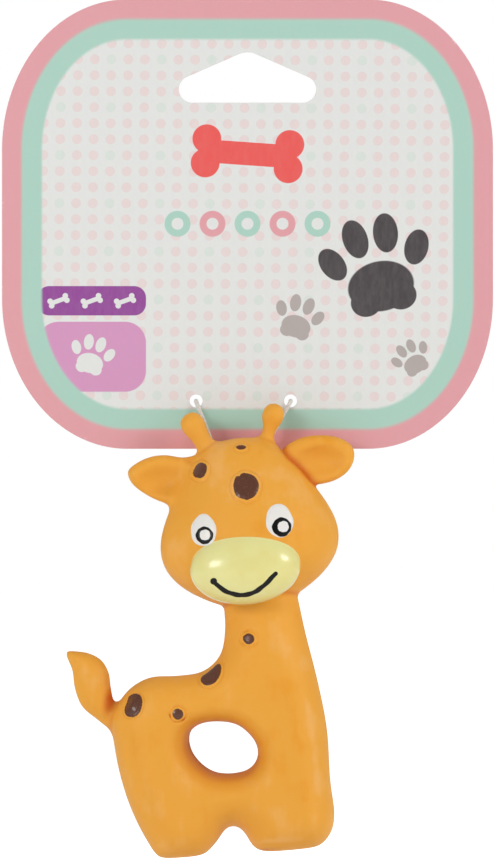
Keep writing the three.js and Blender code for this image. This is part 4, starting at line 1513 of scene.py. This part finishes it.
@dataclass(frozen=True)
class MouldedPlastic:
    """Plain moulded plastic with faint flow marks and dust in its texture."""

    name: str
    colour: Colour
    shade: Colour
    roughness: float = 0.36
    speck: Colour = painted(170, 160, 148)

    def material(self) -> bpy.types.Material:
        """Builds the finish.

        Returns:
            The material.
        """
        material, sheet, shader = fresh(self.name)
        place = place_of(sheet)
        grain = sheet.group(Effects.grain(), Place=place, Scale=4200.0)
        flow = sheet.noise(sheet.stretched(place, (1.0, 0.3, 1.0)), 420, 3.0)
        colour = sheet.mix(sheet.between(flow, 0.4, 0.75), self.colour, self.shade)
        colour = sheet.mix(sheet.math("MULTIPLY", grain.outputs["Specks"], 0.4), colour, self.speck)
        sheet.feed(shader.inputs["Base Color"], colour)
        roughness = sheet.between(flow, 0.3, 0.7, self.roughness - 0.05, self.roughness + 0.07)
        sheet.feed(shader.inputs["Roughness"], roughness)
        sheet.feed(shader.inputs["Normal"], sheet.bump(grain.outputs["Height"], 0.000015, 0.3))
        return material


WHITE = MouldedPlastic("white_plastic", painted(238, 236, 230), painted(228, 225, 216))
NATURAL = MouldedPlastic("natural_plastic", painted(222, 221, 214), painted(206, 204, 196), 0.42)
FILM = MouldedPlastic("reed_film_finish", painted(232, 202, 160), painted(214, 178, 132), 0.3)


# Sub-assemblies


@dataclass
class HangCard:
    """The printed card with its delta hang slot and two cord holes, in millimetres."""

    width: float = 140.3
    height: float = 128.4
    thickness: float = 0.8
    corner: Pair = (35.7, 42.9)
    top: float = 14.6
    slot_width: float = 39.2
    slot_height: float = 14.9
    slot_end: float = 3.83
    roof: float = 0.438
    apex: float = 2.4
    hole: float = 3.7
    bevel: float = 0.09
    paper_edge: Colour = painted(232, 228, 222)

    def outline(self) -> np.ndarray:
        """The card's outline with its soft elliptical corners.

        Returns:
            Its points in millimetres.
        """
        across, up = self.corner
        half, bottom = self.width / 2, self.top - self.height
        middles = (
            (half - across, self.top - up), (across - half, self.top - up),
            (across - half, bottom + up), (half - across, bottom + up),
        )
        points = []
        for index, (x, z) in enumerate(middles):
            turn = np.linspace(index, index + 1, 41) * math.pi / 2
            points.append(np.column_stack([x + across * np.cos(turn), z + up * np.sin(turn)]))
        return np.vstack(points)

    def slot(self) -> np.ndarray:
        """The hang slot: a low roof over a straight sill, with round ends.

        Returns:
            Its points in millimetres.
        """
        reach, radius = self.slot_width / 2 - self.slot_end, self.slot_end
        slope = math.atan(self.roof)
        turn = np.linspace(math.pi / 2 - slope, -math.pi / 2, 25)
        x, z = reach + radius * np.cos(turn), radius - self.slot_height + radius * np.sin(turn)
        share = np.linspace(-1, 1, 13)
        brow = np.column_stack([share * self.apex, -self.roof * self.apex * (1 + share**2) / 2])
        right = np.column_stack([x, z])
        return np.vstack([brow, right, right[::-1] * (-1, 1)])

    def build(self) -> bpy.types.Object:
        """Builds and dresses the card.

        Returns:
            The card.
        """
        holes = [circle(x, -CORD_DROP, self.hole / 2, 40) for x in CORD_HOLES]
        mesh = plate([self.outline(), self.slot(), *holes], -self.thickness / 2, self.thickness / 2)
        softened(mesh, self.bevel * MM)
        mesh.normal_update()
        front, edge, back = range(3)
        for face in mesh.faces:
            flat = front if face.normal.y < 0 else back
            face.material_index = flat if abs(face.normal.y) > 0.9 else edge
        middle = self.top - self.height / 2
        materials = [
            PrintedCard(self.width, self.height, middle, self.corner).material(),
            RawBoard(self.paper_edge).material("card_edge"),
            RawBoard().material("card_back"),
        ]
        card = object_of("card_board", mesh, materials)
        for face in card.data.polygons:
            face.use_smooth = face.material_index == edge
        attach(card, "card")
        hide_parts("hang_card")
        return card


@dataclass
class ElasticTie:
    """The elastic: its front run through the crown, and its back run with the knot.

    Its front run is a little thick at the holes and drawn thin on its way to the crown.
    """

    diameter: float = 1.1
    thick: float = 1.12
    drawn: float = 0.58
    front: tuple[Triple, ...] = (
        (-14.7, -0.2, -100.1), (-14.68, -0.9, -100.3), (-14.3, -1.5, -101.4), (-12.7, -2.6, -105),
        (-10.85, -4.1, -109.6), (-9.5, -5.2, -112.9), (-8.95, -5.57, -114), (-8.2, -5.6, -114.2),
        (-4, -5.6, -114.2), (1, -5.6, -114.2), (4.2, -5.6, -114.2), (4.95, -5.57, -114),
        (5.6, -5.2, -112.9), (7.35, -4.1, -109.6), (9.8, -2.6, -105), (11.75, -1.5, -101.4),
        (12.28, -0.9, -100.3), (12.3, -0.2, -100.1),
    )
    back_left: tuple[Triple, ...] = (
        (-14.7, 0.25, -100.1), (-14.5, 0.85, -100.6), (-14.05, 1.2, -101.7), (-12.6, 1.3, -102.8),
        (-9, 1.3, -102.6), (-3.6, 1.45, -101.2),
    )
    back_right: tuple[Triple, ...] = (
        (1.1, 1.45, -101.0), (6, 1.3, -102.3), (9.8, 1.3, -102.8), (11.5, 1.2, -101.7),
        (12.1, 0.85, -100.6), (12.3, 0.25, -100.1),
    )
    knot: tuple[Triple, ...] = (
        (-2.2, 2.0, -100.2), (-0.9, 3.1, -99.6), (0.2, 2.4, -100.6), (-0.4, 1.6, -101.9),
        (-1.9, 2.2, -102.2), (-2.5, 3.2, -101.2), (-1.4, 3.4, -100.2), (-0.1, 3.2, -101.0),
    )
    tails: tuple[tuple[Triple, ...], ...] = (
        ((-1.2, 2.7, -101.4), (-2.3, 2.6, -102.6), (-2.8, 2.4, -104.2), (-3, 2.2, -106)),
        ((0.1, 2.4, -101.3), (0.6, 2.6, -102.4), (1.1, 2.5, -103.8), (1.4, 2.3, -105.2)),
    )

    def build(self) -> list[bpy.types.Object]:
        """Builds and dresses both runs and the knot.

        Returns:
            The front run, the back run with the knot, and the two tails.
        """
        elastic = MilkyElastic().material()
        front_route = smooth_curve(np.array(self.front), closed=False, per_span=6)
        front = tube("tie_front", front_route, self.thick * self.diameter, elastic, self.drawn)
        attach(front, "tie")
        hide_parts("tie_cord")
        whole = [*self.back_left, *self.knot, *self.back_right]
        knot_route = smooth_curve(np.array(whole), closed=False)
        made = [tube("tie_back", knot_route, self.diameter, elastic)]
        for index, tail in enumerate(self.tails):
            route = smooth_curve(np.array(tail), closed=False, per_span=6)
            made.append(tube(f"tie_tail_{index + 1}", route, self.diameter, elastic))
        for piece in made:
            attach(piece, "card")
        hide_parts("tie_knot")
        return [front, *made]


@dataclass
class GiraffeSkin:
    """The one-piece latex skin with its moulded marks and paint, in millimetres.

    The plug is the radius, length and middle depth of what fills the solid's own seat before the
    skin is meshed again, and cap_gap is how far the filler of its tunnel stays under the crown.
    The mouth's painted line wavers by a height in millimetres, at radians to a millimetre.
    """

    source: bpy.types.Object
    voxel: float = 0.76
    fine_voxel: float = 0.18
    seat: Pair = (15.6, 46.6)
    plug: Triple = (9.6, 10.6, 8.3)
    cap_gap: float = 0.4
    flange_room: float = 8.8
    cup_room: float = 6.8
    seat_floor: float = 10.3
    seat_depth: float = 9.2
    seat_mouth: float = 11.9
    outside: float = 16.0
    tunnel: tuple[float, float, float, float] = (-9.0, 5.0, -5.6, -114.2)
    tunnel_bore: float = 1.8
    strand_room: float = 6.5
    nod_degrees: float = 15.0
    mouth_half: float = 0.66
    mouth_corner: float = 0.98
    mouth_waver: Pair = (0.06, 1.9)
    eye_rise: float = 0.3
    black_rise: float = 0.07
    brown_rise: float = 0.05
    form: GiraffeForm = field(default_factory=GiraffeForm)

    def rough(self) -> bmesh.types.BMesh:
        """Meshes the solid's outer skin evenly, with its seat and tunnel filled.

        Returns:
            The mesh of the outer skin alone, since the air room inside it is closed.
        """
        mesh = bmesh.new()
        mesh.from_mesh(self.source.data)
        bmesh.ops.remove_doubles(mesh, verts=mesh.verts, dist=1e-6)
        radius, length, depth = self.plug
        seat = TOY.matrix() @ Matrix.Translation(Vector((self.seat[0], depth, self.seat[1])) * MM)
        bmesh.ops.create_cone(
            mesh, cap_ends=True, segments=48, radius1=radius * MM, radius2=radius * MM,
            depth=length * MM, matrix=seat @ Matrix.Rotation(math.pi / 2, 4, "X"),
        )
        half, tall = self.form.head_width / 2 - self.cap_gap, self.form.head_height - 2 * self.cap_gap
        crown = turned(half_profile(HEAD_SHARES, half, tall), 48)
        lie = HEAD.matrix() @ Matrix.Diagonal((1, self.form.head_depth / self.form.head_width, 1, 1))
        bmesh.ops.transform(crown, matrix=lie @ Matrix.Rotation(math.pi / 2, 4, "X"), verts=crown.verts)
        filler = bpy.data.meshes.new("crown_filler")
        crown.to_mesh(filler)
        crown.free()
        mesh.from_mesh(filler)
        bpy.data.meshes.remove(filler)
        return remeshed(object_of("rough_skin", mesh, []), self.voxel * MM)

    def settle(self, mesh: bmesh.types.BMesh, passes: int) -> None:
        """Moves every vertex onto the smooth form.

        Args:
            mesh: The skin's mesh.
            passes: How many times each vertex is moved.
        """
        points = np.array([vertex.co for vertex in mesh.verts]) / MM
        for vertex, place in zip(mesh.verts, self.form.settled(points, passes) * MM):
            vertex.co = place

    def marks(self, points: np.ndarray) -> dict[str, np.ndarray]:
        """Works out the painted marks, the painted shade in folds and hollows, and the tones with their
        painted light and shade.

        Args:
            points: Row points in millimetres.

        Returns:
            Values at the points, by the name of the attribute that the finish reads.
        """
        _, shade_and_stain, muzzle = self.form.measure(points)
        on_head = HEAD.inward(points)
        route = smooth_curve(np.array(MOUTH), closed=False, per_span=5)
        places = on_head[:, [0, 2]]
        line = self.mouth_half - gaps_to(places, route[:-1], np.diff(route, axis=0))
        line += self.mouth_waver[0] * np.sin(self.mouth_waver[1] * places[:, 0])
        corner = self.mouth_corner - np.hypot(*(places - MOUTH[0]).T)
        mouth = np.where(on_head[:, 1] < -8, np.maximum(line, corner), OUTSIDE)
        # Painted shade in hollows and folds, with brown paint run around the spots; the tone carries the
        # patches' painted light and shade
        hollow_shade = np.max([patch.tone(points) for patch in SHADE_PATCHES], axis=0)
        smudge = np.max([spot.smudged(points) for spot in SPOTS], axis=0)
        return {
            "shade_and_stain": np.maximum(shade_and_stain, np.maximum(hollow_shade, smudge)),
            "muzzle": muzzle,
            "brown": np.max([spot.painted(points) for spot in SPOTS], axis=0),
            "white": np.max([eye.white(points) for eye in EYES], axis=0),
            "black": np.max([mouth, *(eye.black(points) for eye in EYES)], axis=0),
            "tone": np.sum([patch.tone(points) for patch in LIGHT_SHADE_AND_TONE_PATCHES], axis=0),
        }

    def refine(self, mesh: bmesh.types.BMesh) -> None:
        """Gives the marks a finer mesh than the plain skin.

        Args:
            mesh: The skin's mesh.
        """
        for reach, whole_eyes in ((1.3, True), (0.7, False)):
            points = np.array([vertex.co for vertex in mesh.verts]) / MM
            marks = self.marks(points)
            near = (marks["brown"] > -reach - 1.0) | (marks["white"] > -reach) | (marks["black"] > -reach)
            if not whole_eyes:
                near &= ~((marks["white"] > 1.0) & (marks["black"] < -0.8))
            mesh.verts.ensure_lookup_table()
            edges = [edge for edge in mesh.edges if near[edge.verts[0].index] and near[edge.verts[1].index]]
            bmesh.ops.subdivide_edges(mesh, edges=edges, cuts=1, use_grid_fill=True)
            mesh.verts.index_update()

    def emboss(self, mesh: bmesh.types.BMesh) -> None:
        """Raises the moulded discs, the eyes and the thick paint.

        Args:
            mesh: The skin's mesh.
        """
        mesh.normal_update()
        points = np.array([vertex.co for vertex in mesh.verts]) / MM
        normals = np.array([vertex.normal for vertex in mesh.verts])
        marks = self.marks(points)
        lift = np.sum([spot.relief(points) for spot in SPOTS], axis=0)
        eyes = self.eye_rise * eased(marks["white"], -0.25, 0.8)
        lift += eyes + self.black_rise * eased(marks["black"], -0.12, 0.25)
        lift += self.brown_rise * eased(marks["brown"], -0.08, 0.12)
        for vertex, place in zip(mesh.verts, (points + normals * lift[:, None]) * MM):
            vertex.co = place

    def cutters(self) -> list[bpy.types.Object]:
        """Solids that take the squeaker's seat and the elastic's tunnel out of the skin.

        Returns:
            The two solids.
        """
        floor, deepest, mouth = self.seat_floor, self.seat_floor - self.seat_depth, self.seat_mouth
        core, room = 0.02, self.flange_room
        step = turned([
            (core, deepest), (self.cup_room, deepest), (self.cup_room, floor), (room, floor),
            (room, mouth), (room + 0.5, mouth + 1), (room + 1.6, self.outside), (core, self.outside),
        ], 64)
        bmesh.ops.holes_fill(step, edges=step.edges, sides=0)
        place = TOY.matrix() @ Matrix.Translation(Vector((self.seat[0], 0, self.seat[1])) * MM)
        bmesh.ops.transform(step, matrix=place, verts=step.verts)
        bmesh.ops.recalc_face_normals(step, faces=step.faces)
        return [object_of("seat_cutter", step, []), self.tunnel_cutter()]

    def tunnel_cutter(self) -> bpy.types.Object:
        """The elastic's room in the crown for every angle of nod.

        Returns:
            One solid: a bore between the strands and a fan of bores for each strand.
        """
        left, right, y, z = self.tunnel
        mesh = bmesh.new()
        ends = (Vector((left, y, z)), Vector((right, y, z)))
        runs = [ends]
        for end, hole_x in zip(ends, CORD_HOLES):
            strand = (Vector((hole_x, 0, -CORD_DROP)) - end).normalized() * self.strand_room
            for share in (0, 0.25, 0.5, 0.75, 1):
                swung = Matrix.Rotation(math.radians(self.nod_degrees * share), 3, "X") @ strand
                runs.append((end, end + swung))
        radius = self.tunnel_bore / 2 * MM
        for start, stop in runs:
            along = stop - start
            turn = Vector((0, 0, 1)).rotation_difference(along).to_matrix().to_4x4()
            place = Matrix.Translation((start + stop) / 2 * MM) @ turn
            bmesh.ops.create_cone(
                mesh, cap_ends=True, segments=24, radius1=radius, radius2=radius,
                depth=along.length * MM, matrix=place,
            )
        for end in ends:
            ball = Matrix.Translation(end * MM)
            bmesh.ops.create_icosphere(mesh, subdivisions=3, radius=radius, matrix=ball)
        rough = object_of("tunnel_cutter", mesh, [])
        return object_of("tunnel_cutter", remeshed(rough, self.fine_voxel * MM), [])

    def build(self) -> bpy.types.Object:
        """Builds and dresses the skin.

        Returns:
            The skin.
        """
        mesh = self.rough()
        self.settle(mesh, 5)
        for _ in range(2):
            bmesh.ops.smooth_vert(
                mesh, verts=mesh.verts, factor=0.5, use_axis_x=True, use_axis_y=True, use_axis_z=True
            )
            self.settle(mesh, 2)
        self.refine(mesh)
        self.settle(mesh, 2)
        self.emboss(mesh)
        LOG.info("skin meshed with %d faces", len(mesh.faces))
        latex = PaintedLatex().material()
        skin = object_of("giraffe_skin", mesh, [latex])
        cutters = self.cutters()
        for cutter in cutters:
            cut = skin.modifiers.new(cutter.name, "BOOLEAN")
            cut.operation = "DIFFERENCE"
            cut.solver = "EXACT"
            cut.object = cutter
        carved = applied(skin)
        for cutter in cutters:
            bpy.data.objects.remove(cutter)
        skin = object_of("giraffe_skin", carved, [latex])
        self.colour_in(skin)
        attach(skin, "toy")
        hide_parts("latex_skin")
        return skin

    def colour_in(self, skin: bpy.types.Object) -> None:
        """Stores the marks as attributes that the finish reads.

        Args:
            skin: The finished skin.
        """
        points = np.empty(len(skin.data.vertices) * 3)
        skin.data.vertices.foreach_get("co", points)
        points = points.reshape(-1, 3) / MM
        for name, values in self.marks(points).items():
            stored = skin.data.attributes.new(name, "FLOAT", "POINT")
            stored.data.foreach_set("value", values.astype(np.float32))


@dataclass
class Squeaker:
    """The squeaker's cup and perforated cap in the back of the chest, in millimetres, and its reed."""

    frame_nodes: dict[str, bpy.types.Object]
    place: Triple = (15.6, 11.8, 46.6)
    cap_radius: float = 5.3
    cap_thickness: float = 1.0
    hole: float = 1.2
    ring: float = 3.0
    steps: int = 72
    cup_bevel: float = 0.14
    cap_bevel: float = 0.12
    profile: tuple[Pair, ...] = (
        (5.6, 0), (5.6, -1.3), (5, -1.3), (5, -7.2), (1.6, -7.2), (1.6, -8.2), (6.5, -8.2),
        (6.5, -3.6), (6.62, -3.2), (6.5, -2.8), (6.5, -1.2), (8.5, -1.2), (8.5, 0), (7.6, 0),
        (7.4, -0.18), (6.4, -0.18), (6.2, 0),
    )

    def cup(self, plastic: bpy.types.Material) -> bpy.types.Object:
        """The cup with its flange, rim and air hole.

        Args:
            plastic: Its finish.

        Returns:
            The cup.
        """
        mesh = turned(self.profile, self.steps)
        softened(mesh, self.cup_bevel * MM, math.radians(30))
        return self.finished("squeaker_body", mesh, "squeaker_cup", plastic)

    def cap(self, plastic: bpy.types.Material) -> bpy.types.Object:
        """The flat perforated cap, with one hole in its middle and six around it.

        Args:
            plastic: Its finish.

        Returns:
            The cap.
        """
        places = [(0, 0)]
        for turn in np.arange(6) * math.pi / 3:
            places.append((self.ring * math.cos(turn), self.ring * math.sin(turn)))
        holes = [circle(x, z, self.hole / 2, 24) for x, z in places]
        mesh = plate([circle(0, 0, self.cap_radius, self.steps), *holes], -self.cap_thickness, 0)
        softened(mesh, self.cap_bevel * MM)
        return self.finished("squeaker_grille", mesh, "squeaker_cap", plastic)

    def finished(
        self, name: str, mesh: bmesh.types.BMesh, node: str, plastic: bpy.types.Material,
    ) -> bpy.types.Object:
        """Places a piece in its seat and dresses it.

        Args:
            name: Name of the piece.
            mesh: Its mesh about the seat's axis. It is freed.
            node: The solid that it takes the place of.
            plastic: Its finish.

        Returns:
            The piece.
        """
        place = TOY.matrix() @ Matrix.Translation(Vector(self.place) * MM)
        bmesh.ops.transform(mesh, matrix=place, verts=mesh.verts)
        piece = object_of(name, mesh, [plastic])
        for face in piece.data.polygons:
            face.use_smooth = len(face.vertices) == 4 or face.area < 2e-8
        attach(piece, "toy")
        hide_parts(node)
        return piece

    def build(self) -> list[bpy.types.Object]:
        """Builds the cup and the cap and dresses the reed.

        Returns:
            The cup and the cap.
        """
        white, shoe, film = (finish.material() for finish in (WHITE, NATURAL, FILM))
        for name, material in (("reed_shoe", shoe), ("reed_tongue", film)):
            node = self.frame_nodes[name]
            node.data.materials.clear()
            node.data.materials.append(material)
        return [self.cup(white), self.cap(white)]


@dataclass
class Studio:
    """A white studio with two soft boxes, weaker fills that don't glint, and a long lens.

    Sizes are in metres, and height is how much of the object's plane the picture takes in.
    Surround is the white world's strength as light, and reflected its strength in glossy surfaces.
    A lamp is its name, degrees to the right of the camera, degrees above it, distance, width and
    height, and watts.
    """

    distance: float = 6.0
    height: float = 245.14 * MM
    middle: float = -108.14 * MM
    floor: float = -0.2515
    surround: float = 0.47
    reflected: float = 0.22
    floor_glow: float = 0.72
    target: Triple = (0, -0.01, -0.15)
    boxes: tuple[LampSpec, ...] = (
        ("left_box", -37, 15, 0.95, (0.25, 0.23), 1.95),
        ("right_box", 58, 24, 1.1, (0.27, 0.27), 2.6),
    )
    fills: tuple[LampSpec, ...] = (
        ("left_veil", -37, 15, 0.95, (0.8, 0.8), 1.22),
        ("right_veil", 58, 24, 1.1, (0.8, 0.8), 1.5),
        ("left_fill", -98, 10, 1.2, (0.5, 0.5), 1.3),
        ("right_fill", 98, 10, 1.2, (0.5, 0.5), 1.7),
        ("rear_box", 176, 24, 1.3, (0.6, 0.6), 4.0),
    )

    def camera(self) -> None:
        """Puts the camera where the picture was taken from."""
        data = bpy.data.cameras.new("camera")
        data.sensor_width = 36
        data.lens = 18 / (self.height / 2 / self.distance)
        data.clip_end = 60
        camera = bpy.data.objects.new("camera", data)
        camera.location = (0, -self.distance, self.middle)
        camera.rotation_euler = (math.pi / 2, 0, 0)
        bpy.context.scene.collection.objects.link(camera)
        bpy.context.scene.camera = camera

    def lamp(
        self, name: str, turn: float, rise: float, away: float, size: Pair, power: float,
    ) -> bpy.types.Object:
        """A soft lamp aimed at the toy.

        Args:
            name: Name of the lamp.
            turn: Degrees to the right of the camera.
            rise: Degrees above it.
            away: Distance in metres.
            size: Width and height in metres.
            power: Watts.

        Returns:
            The lamp.
        """
        data = bpy.data.lights.new(name, "AREA")
        data.shape = "RECTANGLE"
        data.size, data.size_y = size
        data.energy = power
        lamp = bpy.data.objects.new(name, data)
        turn, rise = math.radians(turn), math.radians(rise)
        way = Vector((math.sin(turn) * math.cos(rise), -math.cos(turn) * math.cos(rise), math.sin(rise)))
        lamp.location = Vector(self.target) + way * away
        lamp.rotation_euler = (-way).to_track_quat("-Z", "Y").to_euler()
        bpy.context.scene.collection.objects.link(lamp)
        return lamp

    def world(self) -> None:
        """A white surround that lights the toy at a plain level."""
        world = bpy.data.worlds.new("studio")
        bpy.context.scene.world = world
        world.use_nodes = True
        sheet = Sheet(world.node_tree)
        rays = sheet.add("LightPath").outputs
        shown = sheet.math("MAXIMUM", rays["Is Camera Ray"], rays["Is Transmission Ray"])
        lighting = sheet.blend(rays["Is Glossy Ray"], self.surround, self.reflected)
        strength = sheet.blend(shown, lighting, 1.0)
        shade = sheet.add("Background", {"Color": (1.0, 1.0, 1.0), "Strength": strength})
        end = sheet.add("OutputWorld")
        sheet.tree.links.new(shade.outputs[0], end.inputs[0])

    def ground(self) -> None:
        """A pale floor a little below the hanging toy, white where nothing shades it."""
        mesh = bmesh.new()
        level = Matrix.Translation((0, 0, self.floor))
        bmesh.ops.create_grid(mesh, x_segments=4, y_segments=4, size=12, matrix=level)
        material, sheet, shader = fresh("studio_floor")
        cloud = sheet.noise(place_of(sheet), 3, 2.0)
        colour = sheet.mix(cloud, painted(250, 250, 250), painted(245, 245, 245))
        sheet.feed(shader.inputs["Base Color"], colour)
        shader.inputs["Roughness"].default_value = 0.9
        shader.inputs["Specular IOR Level"].default_value = 0.1
        rays = sheet.add("LightPath").outputs
        seen = sheet.math("MAXIMUM", rays["Is Camera Ray"], rays["Is Transmission Ray"])
        shader.inputs["Emission Color"].default_value = (1, 1, 1, 1)
        sheet.feed(shader.inputs["Emission Strength"], sheet.math("MULTIPLY", seen, self.floor_glow))
        object_of("floor", mesh, [material])

    def build(self) -> None:
        """Sets the whole studio up."""
        self.world()
        self.ground()
        for box in self.boxes:
            self.lamp(*box)
        for fill in self.fills:
            self.lamp(*fill).visible_glossy = False


def main() -> None:
    """Builds the scene in order."""
    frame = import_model()
    studio = Studio()
    studio.camera()
    for piece in ElasticTie().build():
        LOG.info("%s: %d vertices", piece.name, len(piece.data.vertices))
    card = HangCard().build()
    LOG.info("%s: %d vertices", card.name, len(card.data.vertices))
    skin = GiraffeSkin(frame["nodes"]["latex_skin"]).build()
    LOG.info("%s: %d vertices", skin.name, len(skin.data.vertices))
    for piece in Squeaker(frame["nodes"]).build():
        LOG.info("%s: %d vertices", piece.name, len(piece.data.vertices))
    studio.build()
    bpy.context.scene.view_settings.view_transform = "Standard"
    bpy.context.view_layer.update()


if __name__ == "__main__":
    logging.basicConfig(level=logging.INFO, format="%(name)s: %(message)s")
    main()
